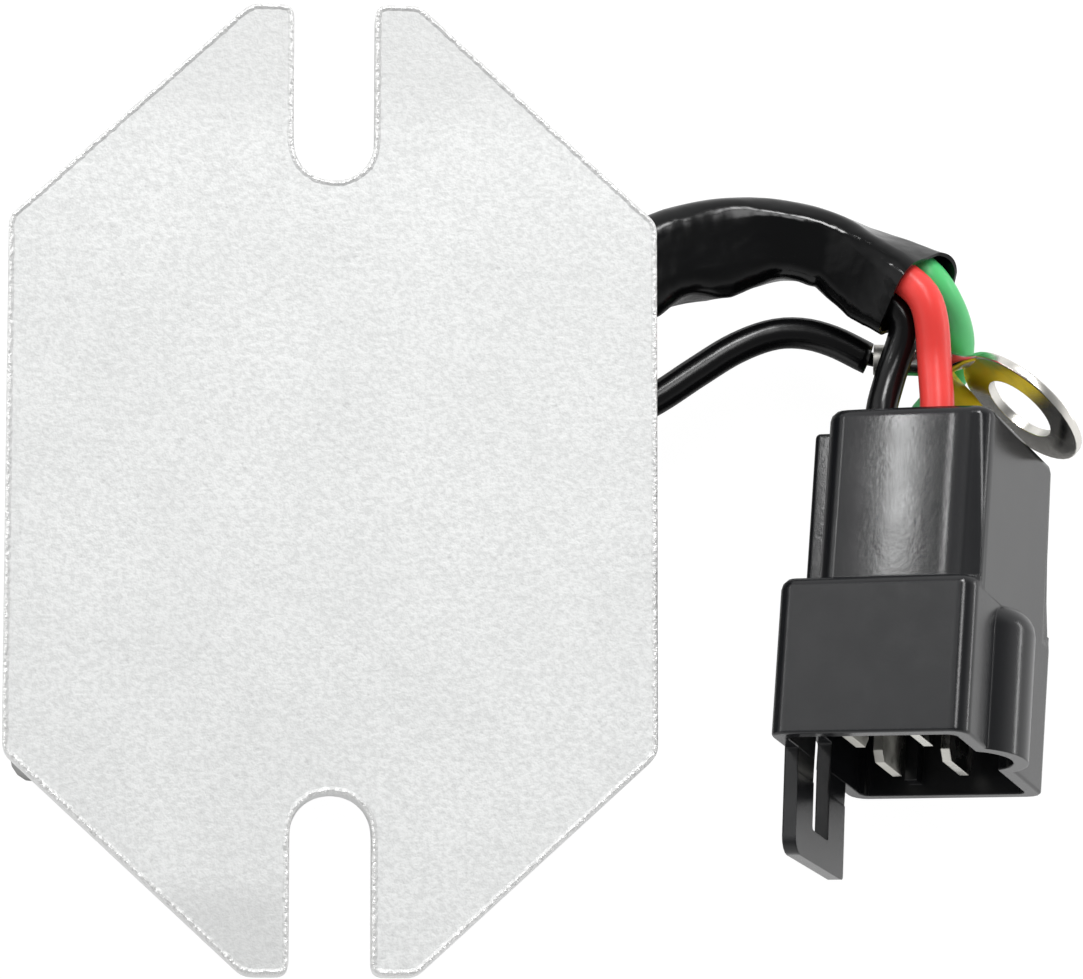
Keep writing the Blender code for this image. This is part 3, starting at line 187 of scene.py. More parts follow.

# Plate, in mm: its worn edge, the band of painted glints and wear along its edges, and where its
# face is duller
OUTLINE_STEP = 0.13
OUTLINE_PASSES = 12
EDGE_RADIUS = 0.27
EDGE_STEPS = 6
EDGE_SWAY = (0.05, 0.9)  # size of the radius's slow waves, and waves per mm
EDGE_WEAR = (0.07, 2.6)
EDGE_CHIPS = (0.035, 4.1)
EDGE_FADE = 0.25  # how far past the radius the wear reaches
FULL_WEAR_FROM = 0.3  # radians round the edge
EDGE_SEEDS = (5.0, 9.0)  # of the lower and of the upper edge
GLINT_AND_WEAR_WIDTH = 1.1
UPPER_END = (28.0, 35.0)
LOWER_END = (-36.0, -31.0)
LOWER_LEFT = (-4.0, -2.0)

# Finned body's lower left corner, in mm
CORNER_OUT = 0.66
CORNER_RIGHT = -24.0
CORNER_TOP = 19.0
CORNER_REACH = 15.0

# Meshes: distances in mm, angles in degrees
WELD = 0.002
FLAT_WITHIN = 0.6
SHARP_PAST = 38.0
SHARP_PAST_WORN = 50.0
FLAT_FACES_WEIGHT = 90

# Softness of edges by finish, in mm
CAST_EDGES = 0.3
MOULDED_EDGES = 0.22
SHEET_EDGES = 0.12

# Floor, in m, with the reach and range of the shade painted near the part, and the tent's light by
# height and to the left
FLOOR_SIZE = 6.0
FLOOR_DROP = 0.00005
SHADOW_REACH = 0.024
SHADOW_RANGE = (0.38, 0.88)
TENT_HEIGHTS = (0.15, 0.85)
TENT_LEVELS = (0.9, 0.2)
LEFT_GLOW = (-0.70, 0.35, 0.62)
LEFT_GLOW_RANGE = (0.78, 0.97)
LEFT_GLOW_LEVEL = 0.45

# Softboxes round the neck's front face, which shows them best: direction towards each,
# direction of its width, width and length in m, and radiance
LAMPS_MIDDLE = (47.0, -1.0, 22.0)
LAMP_DISTANCE = 0.85
LAMPS = {
    "neck_strip": ((-0.6225, 0.462, 0.634), (0.754, 0.117, 0.646), (0.034, 0.085), 36.0),
    "left_strip": ((-0.86, 0.385, 0.33), (0.38, 0.08, 0.92), (0.06, 0.30), 8.0),
    "top_strip": ((0.12, 0.40, 0.91), (1.0, 0.0, 0.0), (0.16, 0.36), 8.0),
    "right_strip": ((0.985, 0.17, 0.02), (0.0, 1.0, 0.0), (0.5, 0.05), 11.0),
    "back_box": ((0.02, 0.72, 0.70), (1.0, 0.0, 0.0), (0.20, 0.16), 27.0),
}

# Nodes that keep their own mesh, with the finish of each
KEPT = {
    "rim_gasket": "sealant", "thermal_pad": "pad", "thyristor_1": "epoxy",
    "thyristor_2": "epoxy", "rectifier_diode_1": "epoxy", "rectifier_diode_2": "epoxy",
    "clamp_bar": "steel", "clamp_screw_1": "steel", "clamp_screw_2": "steel",
    "circuit_board": "board", "control_chip": "epoxy", "gate_resistor_1": "epoxy",
    "gate_resistor_2": "epoxy", "zener_diode": "epoxy", "smoothing_capacitor": "can",
    "potting_compound": "potting",
}
# Nodes whose own form is shaded smooth, with the slot and the finish of each
REFINED = {
    "wire_exit_grommet": ("rubber", "rubber"),
    "ring_terminal": ("tinned_copper", "tin"),
    "tab_terminal_1": ("tinned_brass", "tab"),
    "tab_terminal_2": ("tinned_brass", "tab"),
    "tab_terminal_3": ("tinned_brass", "tab"),
    "tab_terminal_4": ("tinned_brass", "tab"),
}


def add_camera():
    """The photograph's own view."""
    data = bpy.data.cameras.new("camera")
    data.sensor_fit = "HORIZONTAL"
    data.sensor_width = SENSOR_WIDTH
    data.lens = SENSOR_WIDTH * FOCAL_PIXELS / IMAGE_WIDTH
    data.clip_start = CLIP_START
    data.clip_end = CLIP_END
    camera = bpy.data.objects.new("camera", data)
    turn = Matrix(CAMERA_ROWS).transposed().to_4x4()
    camera.matrix_world = Matrix.Translation(Vector(CAMERA_PLACE) * MM) @ turn
    bpy.context.scene.collection.objects.link(camera)
    bpy.context.scene.camera = camera
    bpy.context.scene.view_settings.view_transform = "Standard"


class Nodes:
    """A small builder for node trees."""

    def __init__(self, tree):
        self.tree = tree

    def add(self, kind):
        return self.tree.nodes.new(kind)

    def link(self, a, b):
        self.tree.links.new(a, b)

    def feed(self, socket, value):
        """A number or a colour set on a socket, or an output linked to it."""
        if isinstance(value, (int, float)):
            socket.default_value = value
        elif isinstance(value, tuple):
            socket.default_value = (*value, 1.0)
        else:
            self.link(value, socket)

    def coords(self):
        return self.add("ShaderNodeTexCoord").outputs["Object"]

    def facing(self):
        """The surface's own normal."""
        return self.add("ShaderNodeNewGeometry").outputs["Normal"]

    def ray_is(self, kind):
        return self.add("ShaderNodeLightPath").outputs[f"Is {kind} Ray"]

    def noise(self, vector, scale, detail=2.0, roughness=0.5):
        """Noise with so many waves to a metre."""
        node = self.add("ShaderNodeTexNoise")
        node.inputs["Scale"].default_value = scale
        node.inputs["Detail"].default_value = detail
        node.inputs["Roughness"].default_value = roughness
        self.link(vector, node.inputs["Vector"])
        return node.outputs["Fac"]

    def placed(self, vector, matrix):
        """Coordinates in the frame that a matrix in mm places."""
        mapping = self.add("ShaderNodeMapping")
        mapping.vector_type = "TEXTURE"
        mapping.inputs["Location"].default_value = matrix.translation * MM
        mapping.inputs["Rotation"].default_value = matrix.to_euler("XYZ")
        self.link(vector, mapping.inputs["Vector"])
        return mapping.outputs["Vector"]

    def ramp(self, value, low, high, to_low=0.0, to_high=1.0):
        node = self.add("ShaderNodeMapRange")
        node.interpolation_type = "SMOOTHSTEP"
        node.inputs["From Min"].default_value = low
        node.inputs["From Max"].default_value = high
        node.inputs["To Min"].default_value = to_low
        node.inputs["To Max"].default_value = to_high
        self.link(value, node.inputs["Value"])
        return node.outputs["Result"]

    def zone(self, vector, axis, ends, to_low, to_high):
        """A value that changes along an axis between two places in mm."""
        node = self.add("ShaderNodeSeparateXYZ")
        self.link(vector, node.inputs[0])
        low, high = ends
        return self.ramp(node.outputs[axis], low * MM, high * MM, to_low, to_high)

    def math(self, operation, a, b):
        node = self.add("ShaderNodeMath")
        node.operation = operation
        self.feed(node.inputs[0], a)
        self.feed(node.inputs[1], b)
        return node.outputs[0]

    def mix(self, factor, a, b):
        node = self.add("ShaderNodeMix")
        node.data_type = "RGBA"
        self.feed(node.inputs[0], factor)
        self.feed(node.inputs[6], a)
        self.feed(node.inputs[7], b)
        return node.outputs[2]

    def either(self, factor, a, b):
        """One shader where the factor is 0, and the other where it is 1."""
        node = self.add("ShaderNodeMixShader")
        for socket, output in zip(node.inputs, (factor, a, b)):
            self.link(output, socket)
        return node.outputs[0]

    def bump(self, height, strength, distance, normal=None):
        """A normal tilted by a height, whose full size is given in mm."""
        node = self.add("ShaderNodeBump")
        node.inputs["Strength"].default_value = strength
        node.inputs["Distance"].default_value = distance * MM
        self.link(height, node.inputs["Height"])
        if normal is not None:
            self.link(normal, node.inputs["Normal"])
        return node.outputs["Normal"]

    def soft_edges(self, radius):
        """Normals rounded over sharp edges, with a radius in mm."""
        node = self.add("ShaderNodeBevel")
        node.samples = 6
        node.inputs["Radius"].default_value = radius * MM
        return node.outputs["Normal"]

    def dot(self, vector, other):
        """How much of a vector points along a direction or along another vector."""
        node = self.add("ShaderNodeVectorMath")
        node.operation = "DOT_PRODUCT"
        self.link(vector, node.inputs[0])
        if isinstance(other, (tuple, Vector)):
            node.inputs[1].default_value = Vector(other).normalized()
        else:
            self.link(other, node.inputs[1])
        return node.outputs["Value"]

    def attribute(self, name):
        node = self.add("ShaderNodeAttribute")
        node.attribute_name = name
        return node.outputs["Fac"]


def material(name, colour, roughness, metallic=0.0, **more):
    """A material, its shader and a builder for its nodes."""
    made = bpy.data.materials.new(name)
    made.use_nodes = True
    shader = made.node_tree.nodes["Principled BSDF"]
    shader.inputs["Base Color"].default_value = (*colour, 1.0)
    shader.inputs["Roughness"].default_value = roughness
    shader.inputs["Metallic"].default_value = metallic
    for key, value in more.items():
        shader.inputs[key.replace("_", " ")].default_value = value
    return made, shader, Nodes(made.node_tree)


def plate_metal():
    """Tumbled aluminium: pale, matt and finely grained, a little brighter where its edges are
    worn, with glints painted white along its edges.
    """
    made, shader, n = material("plate_metal", (0.86, 0.87, 0.865), 0.6, 0.2)
    low, high = (0.79, 0.80, 0.795), (0.91, 0.92, 0.915)
    white, bright, dark, nicked = (1.0,) * 3, (0.97,) * 3, (0.55,) * 3, (0.3,) * 3
    dull, dull_upper, dull_corner = (0.66, 0.67, 0.665), (0.66, 0.665, 0.66), (0.6, 0.605, 0.6)
    rubbed = (0.92, 0.92, 0.91)
    at = n.coords()
    grain = n.noise(at, 2600.0, 2.0, 0.6)
    fleck = n.noise(at, 1300.0, 3.0, 0.7)
    cloud = n.noise(at, 90.0, 3.0, 0.55)
    patch = n.noise(at, 24.0, 2.0, 0.5)
    tone = n.mix(n.ramp(grain, 0.34, 0.66), low, high)
    tone = n.mix(n.ramp(fleck, 0.66, 0.76, 0.0, 0.4), tone, bright)
    tone = n.mix(n.ramp(fleck, 0.36, 0.25, 0.0, 0.4), tone, dark)
    tone = n.mix(n.ramp(cloud, 0.35, 0.65, 0.12, 0.0), tone, dull)
    tone = n.mix(n.ramp(patch, 0.38, 0.62, 0.1, 0.0), tone, dull)
    tone = n.mix(n.zone(at, "Y", UPPER_END, 0.0, 0.42), tone, dull_upper)
    corner = n.math("ADD", n.zone(at, "Y", LOWER_END, 1.0, 0.0),
                    n.zone(at, "X", LOWER_LEFT, 0.0, -1.0))
    tone = n.mix(n.ramp(corner, 0.0, 1.0, 0.0, 0.4), tone, dull_corner)
    # Painted highlight: white specks in a band along the plate's edges stand for glints; the
    # darker nicks in that band are wear.
    edge = n.ramp(n.dot(n.facing(), n.soft_edges(GLINT_AND_WEAR_WIDTH)), 0.99, 0.87)
    painted_glints = n.math("MULTIPLY", edge, n.ramp(n.noise(at, 1900.0, 2.0, 0.6), 0.46, 0.56))
    nicks = n.math("MULTIPLY", edge, n.ramp(n.noise(at, 1100.0, 2.0, 0.7), 0.42, 0.32))
    tone = n.mix(n.math("MULTIPLY", nicks, 0.5), tone, nicked)
    tone = n.mix(painted_glints, tone, white)
    worn = n.attribute("edge")
    tone = n.mix(n.math("MULTIPLY", worn, 0.6), tone, rubbed)
    n.link(tone, shader.inputs["Base Color"])
    n.link(n.ramp(worn, 0.0, 1.0, 0.25, 0.5), shader.inputs["Metallic"])
    n.link(n.ramp(worn, 0.0, 1.0, 0.58, 0.36), shader.inputs["Roughness"])
    rough = n.bump(grain, 0.3, 0.06)
    rough = n.bump(fleck, 0.35, 0.12, rough)
    dents = n.math("MULTIPLY", n.noise(at, 2200.0, 2.0, 0.6), worn)
    n.link(n.bump(dents, 1.0, 0.3, rough), shader.inputs["Normal"])
    return made


def cast_metal():
    """Die-cast aluminium, as cast."""
    made, shader, n = material("cast_metal", (0.5, 0.505, 0.51), 0.5, 0.6)
    at = n.coords()
    grain = n.noise(at, 1400.0, 3.0, 0.6)
    cloud = n.noise(at, 150.0, 3.0, 0.5)
    tone = n.mix(n.ramp(cloud, 0.3, 0.7), (0.26, 0.26, 0.255), (0.35, 0.35, 0.345))
    n.link(tone, shader.inputs["Base Color"])
    n.link(n.bump(grain, 0.4, 0.2, n.soft_edges(CAST_EDGES)), shader.inputs["Normal"])
    return made


def black_plastic():
    """Satin moulding: the hood's front finely matt, the neck's more polished."""
    made, shader, n = material("black_plastic", (0.009, 0.0095, 0.011), 0.35)
    at = n.coords()
    place = n.placed(at, CONNECTOR)
    fine = n.noise(at, 2400.0, 2.0, 0.6)
    broad = n.noise(at, 260.0, 2.0, 0.5)
    blotch = n.noise(at, 420.0, 4.0, 0.65)
    front = n.ramp(n.dot(n.facing(), CONNECTOR.col[2].xyz), 0.95, 0.995)
    matt = n.zone(place, "Y", (HOOD_LENGTH, HOOD_LENGTH + HOOD_STEP), 0.2, -0.03)
    polish = n.math("ADD", n.math("MULTIPLY", front, matt), 0.19)
    mottled = n.math("MULTIPLY", n.ramp(blotch, 0.3, 0.7, -0.14, 0.14), matt)
    polish = n.math("ADD", polish, n.math("MULTIPLY", mottled, front))
    polish = n.math("ADD", polish, n.ramp(broad, 0.3, 0.7, -0.012, 0.012))
    n.link(polish, shader.inputs["Roughness"])
    wavy = n.bump(broad, 0.04, 0.3, n.soft_edges(MOULDED_EDGES))
    n.link(n.bump(fine, 0.25, 0.022, wavy), shader.inputs["Normal"])
    return made


def sleeve_plastic():
    """Glossy shrink tube."""
    made, shader, n = material(
        "sleeve_plastic", (0.0025, 0.0027, 0.003), 0.13, 0.0, Specular_IOR_Level=0.3)
    at = n.coords()
    broad = n.noise(at, 300.0, 2.0, 0.5)
    fine = n.noise(at, 1500.0, 2.0, 0.5)
    n.link(n.zone(at, "X", SLEEVE_GLOSS, 0.2, 0.11), shader.inputs["Roughness"])
    wavy = n.bump(broad, 0.4, 0.5)
    n.link(n.bump(fine, 0.12, 0.06, wavy), shader.inputs["Normal"])
    return made


def insulation(name, colour, roughness=0.34, gloss=0.4, depth=0.08):
    """Smooth insulation of a wire."""
    made, shader, n = material(
        name, colour, roughness, 0.0, Subsurface_Weight=depth, Subsurface_Scale=0.5 * MM,
        Specular_IOR_Level=gloss)
    at = n.coords()
    broad = n.noise(at, 420.0, 2.0, 0.5)
    fine = n.noise(at, 2400.0, 2.0, 0.6)
    tone = n.mix(n.ramp(broad, 0.3, 0.7), tuple(c * 0.95 for c in colour), colour)
    n.link(tone, shader.inputs["Base Color"])
    soft = n.bump(broad, 0.1, 0.4)
    n.link(n.bump(fine, 0.1, 0.04, soft), shader.inputs["Normal"])
    return made


def tinned_metal(name, colour, roughness):
    """Bright tinned sheet, duller where it is crimped."""
    made, shader, n = material(name, colour, roughness, 1.0)
    at = n.coords()
    broad = n.noise(at, 380.0, 2.0, 0.5)
    fine = n.noise(at, 2000.0, 2.0, 0.6)
    uneven = n.ramp(broad, 0.35, 0.65, roughness * 0.7, roughness * 1.6)
    polish = n.math("ADD", uneven, n.zone(at, "X", CRIMP, 0.28, 0.0))
    n.link(polish, shader.inputs["Roughness"])
    soft = n.bump(broad, 0.1, 0.2, n.soft_edges(SHEET_EDGES))
    n.link(n.bump(fine, 0.08, 0.04, soft), shader.inputs["Normal"])
    return made


def plain(name, colour, roughness, metallic=0.0):
    """A finish with a little grain, for what is mostly hidden."""
    made, shader, n = material(name, colour, roughness, metallic)
    at = n.coords()
    grain = n.noise(at, 1200.0, 3.0, 0.6)
    cloud = n.noise(at, 300.0)
    n.link(n.bump(grain, 0.15, 0.1), shader.inputs["Normal"])
    tone = n.mix(n.ramp(cloud, 0.3, 0.7), tuple(c * 0.9 for c in colour), colour)
    n.link(tone, shader.inputs["Base Color"])
    return made


def finishes():
    """Every finish, by a short name."""
    return {
        "plate": plate_metal(),
        "cast": cast_metal(),
        "plastic": black_plastic(),
        "sleeve": sleeve_plastic(),
        "tin": tinned_metal("tinned_metal", (0.84, 0.82, 0.77), 0.17),
        "tab": tinned_metal("tab_metal", (0.72, 0.71, 0.66), 0.24),
        "steel": plain("steel", (0.5, 0.5, 0.51), 0.35, 1.0),
        "sealant": plain("sealant", (0.35, 0.35, 0.36), 0.6),
        "pad": plain("pad", (0.5, 0.5, 0.52), 0.7),
        "epoxy": plain("epoxy", (0.03, 0.03, 0.03), 0.5),
        "board": plain("board", (0.03, 0.2, 0.08), 0.45),
        "can": plain("can", (0.03, 0.06, 0.2), 0.35),
        "potting": plain("potting", (0.03, 0.03, 0.03), 0.45),
        "rubber": plain("rubber", (0.02, 0.02, 0.02), 0.6),
        "black_wire": insulation("black_insulation", (0.004, 0.004, 0.0045), 0.22, 0.35, 0.0),
        "red_wire": insulation("red_insulation", (1.0, 0.07, 0.06)),
        "green_wire": insulation("green_insulation", (0.11, 0.72, 0.23)),
        "yellow_wire": insulation("yellow_insulation", (0.8, 0.62, 0.02)),
    }


def join(piece, node):
    """A piece that rides on the part and stands for one of its nodes."""
    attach(piece, "root")
    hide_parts(node)
    return piece


def add_object(name, mesh, finish, sharp):
    """A smooth-shaded object whose edges past an angle stay sharp."""
    mesh.shade_smooth()
    form = bmesh.new()
    form.from_mesh(mesh)
    form.normal_update()
    for edge in form.edges:
        edge.smooth = edge.is_manifold and edge.calc_face_angle() < math.radians(sharp)
    form.to_mesh(mesh)
    form.free()
    mesh.materials.clear()
    mesh.materials.append(finish)
    thing = bpy.data.objects.new(name, mesh)
    bpy.context.scene.collection.objects.link(thing)
    return thing


def add_mesh(name, verts, faces, finish):
    """A worn or soft piece from its points and faces."""
    mesh = bpy.data.meshes.new(name)
    mesh.from_pydata([tuple(map(float, v)) for v in verts], [], faces)
    mesh.validate()
    return add_object(name, mesh, finish, SHARP_PAST_WORN)


def ring_faces(rings, count, closed):
    """Quads between rings of points; when closed, the last ring joins the first."""
    faces = []
    for ring in range(rings if closed else rings - 1):
        here = ring * count
        there = (ring + 1) % rings * count
        for i in range(count):
            j = (i + 1) % count
            faces.append((here + i, here + j, there + j, there + i))
    return faces


def welded(node):
    """A node's own form as a bmesh with shared vertices and whole flat faces."""
    form = bmesh.new()
    form.from_mesh(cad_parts[node].data)
    bmesh.ops.remove_doubles(form, verts=form.verts, dist=WELD * MM)
    bmesh.ops.dissolve_limit(
        form, angle_limit=math.radians(FLAT_WITHIN), verts=form.verts, edges=form.edges)
    return form


def refined(node, finish, form=None):
    """A node's own form with round faces shaded round and flat ones flat."""
    form = form or welded(node)
    mesh = bpy.data.meshes.new("v_" + node)
    form.to_mesh(mesh)
    form.free()
    thing = add_object("v_" + node, mesh, finish, SHARP_PAST)
    normals = thing.modifiers.new("normals", "WEIGHTED_NORMAL")
    normals.weight = FLAT_FACES_WEIGHT
    normals.keep_sharp = True
    return join(thing, node)


def add_housing(finish):
    """The finned body, its lower left corner standing out a little past the plate."""
    form = welded("heat_sink_housing")
    for vertex in form.verts:
        x, y, z = vertex.co / MM
        if x < CORNER_RIGHT and z < CORNER_TOP:
            vertex.co.x -= CORNER_OUT * MM * min(1.0, max(0.0, -y / CORNER_REACH))
    return refined("heat_sink_housing", finish, form)


def is_neck_front(local):
    """Whether a place in the connector's own u, v and w is on the neck's front face."""
    past_hood = local.y > HOOD_LENGTH + STRIP_START
    return past_hood and local.z > NECK_FRONT - STRIP_DEPTH


def cut_neck_front(form, place, inverse):
    """Cuts the neck's front face into strips, so that it can be crowned."""
    across = place.to_3x3() @ Vector((1.0, 0.0, 0.0))
    for step in range(STRIP_COUNT):
        cut = place @ (Vector((STRIP_FIRST + STRIP_WIDTH * step, 0.0, 0.0)) * MM)
        faces = [f for f in form.faces if is_neck_front(inverse @ f.calc_center_median() / MM)]
        geometry = dict.fromkeys(faces)
        for face in faces:
            geometry.update(dict.fromkeys(face.edges))
            geometry.update(dict.fromkeys(face.verts))
        bmesh.ops.bisect_plane(
            form, geom=list(geometry), plane_co=cut, plane_no=across, dist=NEARLY * MM)


def neck_relief(u):
    """How far the neck's front face stands from flat at u: crowned, with a faint ridge."""
    crown = -CROWN_HEIGHT * ((u - NECK_MIDDLE) / NECK_HALF) ** 2
    return crown + RIDGE_HEIGHT * math.exp(-(((u - RIDGE_PLACE) / RIDGE_WIDTH) ** 2))


def moulded(local):
    """Where a point of the housing's solid lies on the moulding, in its own u, v and w."""
    moved = local.copy()
    if moved.x < RAIL_RIGHT and RAIL_TIP[0] < moved.y < RAIL_TIP[1]:
        moved.y += RAIL_EXTRA
    at_rim = HOOD_LENGTH - RIM_DEPTH < moved.y < HOOD_LENGTH + NEARLY
    on_side = RIM_HEIGHTS[0] < abs(moved.z) < RIM_HEIGHTS[1] and RIM_FROM < moved.x < SIDE
    if at_rim and on_side:
        moved.x = SIDE
    near_front = NECK_FRONT - CROWN_DEPTH < moved.z < NECK_FRONT + CROWN_ABOVE
    if moved.y > HOOD_LENGTH - NEARLY and near_front:
        share = min(1.0, (moved.z - NECK_FRONT + CROWN_DEPTH) / CROWN_FADE)
        moved.z += neck_relief(moved.x) * share
    return moved


def add_connector(finish):
    """The housing, with the moulding's slight crown on the neck's front face."""
    form = welded("connector_housing")
    place = CONNECTOR.copy()
    place.translation *= MM
    inverse = place.inverted()
    cut_neck_front(form, place, inverse)
    for vertex in form.verts:
        local = inverse @ vertex.co / MM
        moved = moulded(local)
        if moved != local:
            vertex.co = place @ (moved * MM)
    return refined("connector_housing", finish, form)


def outline_of(form, height):
    """The closed loop of a welded form's edges at a height, as points in order."""
    ring = [e for e in form.edges if all(abs(v.co.z - height) < 1e-6 for v in e.verts)]
    links = {}
    for edge in ring:
        a, b = edge.verts
        links.setdefault(a, []).append(b)
        links.setdefault(b, []).append(a)
    start = min(links, key=lambda v: (v.co.x, v.co.y))
    loop, last, spot = [start], None, start
    while True:
        ahead = [v for v in links[spot] if v is not last]
        last, spot = spot, ahead[0]
        if spot is start:
            break
        loop.append(spot)
    return np.array([v.co.xy[:] for v in loop]) / MM


def uneven(points, waves, seed):
    """Smooth noise along an outline, with the size and the number per mm of its waves."""
    size, per_mm = waves
    values = [noise.noise(Vector((x * per_mm, y * per_mm, seed))) for x, y in points]
    return size * np.array(values)


def rolled_edge(points, bottom, top):
    """Rings up the side of the plate and over its worn edges, with how worn each is."""
    after, before = np.roll(points, -1, 0), np.roll(points, 1, 0)
    ahead = (after - before) / np.linalg.norm(after - before, axis=1)[:, None]
    outward = np.stack([ahead[:, 1], -ahead[:, 0]], 1)
    area = np.sum(points[:, 0] * after[:, 1] - after[:, 0] * points[:, 1])
    outward *= math.copysign(1.0, area)
    rings, wear = [], []
    for end, sign, seed in ((bottom, 1.0, EDGE_SEEDS[0]), (top, -1.0, EDGE_SEEDS[1])):
        radius = EDGE_RADIUS + uneven(points, EDGE_SWAY, seed)
        radius = radius + uneven(points, EDGE_WEAR, seed + 2.0)
        strip = []
        for step in range(EDGE_STEPS + 1):
            turn = math.pi / 2 * step / EDGE_STEPS
            chips = uneven(points, EDGE_CHIPS, seed + 10.0 * turn) * math.sin(2 * turn)
            inset = radius * (1 - math.cos(turn)) + chips
            height = end + sign * radius * (1 - math.sin(turn))
            flat = points - outward * inset[:, None]
            share = 1.0 if turn > FULL_WEAR_FROM else 0.5
            strip.append((np.column_stack([flat, height]), share))
        inner = points - outward * (radius + EDGE_FADE)[:, None]
        strip.append((np.column_stack([inner, np.full(len(points), end)]), 0.0))
        if sign > 0:
            strip.reverse()
        rings += [ring for ring, _ in strip]
        wear += [share for _, share in strip]
    return rings, wear


def add_plate(finish):
    """The plate again, its edges rolled unevenly by blanking and tumbling."""
    low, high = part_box("mounting_plate")
    form = welded("mounting_plate")
    heights = sorted({round(v.co.z, 6) for v in form.verts})
    outline = outline_of(form, min(heights, key=lambda z: abs(z - (low[2] + high[2]) / 2)))
    form.free()
    closed = np.vstack([outline, outline[:1]])
    points = even(closed, OUTLINE_STEP)[:-1]
    for _ in range(OUTLINE_PASSES):
        points = 0.25 * np.roll(points, 1, 0) + 0.5 * points + 0.25 * np.roll(points, -1, 0)
    rings, wear = rolled_edge(points, low[2] / MM, high[2] / MM)
    count = len(points)
    faces = ring_faces(len(rings), count, closed=False)
    faces.append(tuple(reversed(range(count))))
    faces.append(tuple(range((len(rings) - 1) * count, len(rings) * count)))
    plate = add_mesh("v_mounting_plate", np.vstack(rings) * MM, faces, finish)
    level = plate.data.attributes.new("edge", "FLOAT", "POINT")
    level.data.foreach_set("value", np.repeat(wear, count).astype(np.float32))
    return join(plate, "mounting_plate")


def run_lengths(points):
    """How far along a line each of its points lies."""
    steps = np.linalg.norm(np.diff(points, axis=0), axis=1)
    return np.concatenate([[0.0], np.cumsum(steps)])


def even(points, step):
    """The same line with its points evenly spaced."""
    lengths = run_lengths(points)
    count = max(2, round(lengths[-1] / step))
    places = np.linspace(0.0, lengths[-1], count + 1)
    columns = range(points.shape[1])
    return np.stack([np.interp(places, lengths, points[:, k]) for k in columns], 1)


def catmull(points, step):
    """Dense points, about a step apart, on a smooth curve through the given ones."""
    p = np.array(points, float)
    p = np.vstack([2 * p[0] - p[1], p, 2 * p[-1] - p[-2]])
    fine = []
    for a, b, c, d in zip(p, p[1:], p[2:], p[3:]):
        for t in np.linspace(0.0, 1.0, CURVE_POINTS, endpoint=False):
            fine.append(0.5 * (2 * b + (c - a) * t + (2 * a - 5 * b + 4 * c - d) * t**2
                               + (3 * b - a - 3 * c + d) * t**3))
    fine.append(p[-2])
    return even(np.array(fine), step)


def relaxed(points):
    """The same line with its small kinks smoothed; the ends stay."""
    p = points.copy()
    for _ in range(KINK_PASSES):
        q = p.copy()
        q[1:-1] = 0.25 * p[:-2] + 0.5 * p[1:-1] + 0.25 * p[2:]
        q[:ENDS_KEPT] = p[:ENDS_KEPT]
        q[-ENDS_KEPT:] = p[-ENDS_KEPT:]
        p = q
    return p


def level_frames(p):
    """Directions to the left and upward along a nearly level line."""
    ahead = np.gradient(p, axis=0)
    ahead /= np.linalg.norm(ahead, axis=1)[:, None]
    side = np.cross([0.0, 0.0, 1.0], ahead)
    side /= np.linalg.norm(side, axis=1)[:, None]
    return side, np.cross(ahead, side)


def curve_cord(name, points, diameter, finish, radii=None):
    """A round cord as a curve of one open spline."""
    data = bpy.data.curves.new(name, "CURVE")
    data.dimensions = "3D"
    data.bevel_depth = diameter / 2
    data.bevel_resolution = 6
    data.use_fill_caps = True
    line = data.splines.new("POLY")
    line.points.add(len(points) - 1)
    for i, (spot, point) in enumerate(zip(line.points, points)):
        spot.co = (*point, 1.0)
        spot.radius = 1.0 if radii is None else radii[i]
    line.use_smooth = True
    data.materials.append(finish)
    thing = bpy.data.objects.new(name, data)
    bpy.context.scene.collection.objects.link(thing)
    return thing


def bundle():
    """The bundle's middle line, its frames and how far along the sleeve each point is."""
    line = catmull(BUNDLE_ROUTE, ROUTE_STEP)
    side, up = level_frames(line)
    lengths = run_lengths(line)
    first = np.interp(SLEEVE_START, line[:, 0], lengths)
    share = (lengths - first) / (lengths[-1] - first)
    return line, side, up, share


def wire_line(name):
    """One wire's middle, from the board through the sleeve into its cell."""
    _, corner, free, (cell_u, cell_w), (lean_u, lean_w) = WIRES[name]
    line, side, up, share = bundle()
    late = np.clip((share - TWIST_FROM) / (1 - TWIST_FROM), 0.0, 1.0)
    turn = WIRE_TWIST * late * late * (3 - 2 * late)
    a = (corner[0] * np.cos(turn) - corner[1] * np.sin(turn)) * WIRE_SPACING / 2
    b = (corner[0] * np.sin(turn) + corner[1] * np.cos(turn)) * WIRE_SPACING / 2
    bundled = line + side * a[:, None] + up * b[:, None]
    seated = [tuple(CONNECTOR @ Vector((cell_u + lean_u * near, v, cell_w + lean_w * near)))
              for v, near in SEAT_DEPTHS]
    loose = catmull([tuple(bundled[-LEAD_POINTS]), tuple(bundled[-1])] + free + seated, ROUTE_STEP)
    start = int(np.argmin(np.linalg.norm(loose - bundled[-1], axis=1)))
    whole = np.vstack([bundled, loose[start + 1:]])
    return even(relaxed(whole), CORD_STEP)


def ground_line():
    """The ground wire's middle, and the share of its radius, which is bare in the barrel."""
    start = np.array(BARREL_START)
    toward = np.array(BARREL_HEADING) / np.linalg.norm(BARREL_HEADING)
    line = catmull([*GROUND_ROUTE, BARREL_START], CORD_STEP)
    bare = [start + toward * reach for reach in CONDUCTOR_REACHES]
    radii = [1.0] * len(line) + [CONDUCTOR_SHARE] * len(bare)
    return np.vstack([line, *bare]), radii


def add_wires(looks):
    """The four harness wires and the ground wire, with their middle lines."""
    made = {}
    for name, (diameter, *_) in WIRES.items():
        line = wire_line(name)
        wire = curve_cord("v_" + name, line * MM, diameter * MM, looks[name])
        join(wire, name)
        made[name] = (wire, line, diameter)
    line, radii = ground_line()
    wire = curve_cord(
        "v_ground_wire", line * MM, GROUND_DIAMETER * MM, looks["black_wire"], radii)
    join(wire, "ground_wire")
    made["ground_wire"] = (wire, line, GROUND_DIAMETER)
    return made


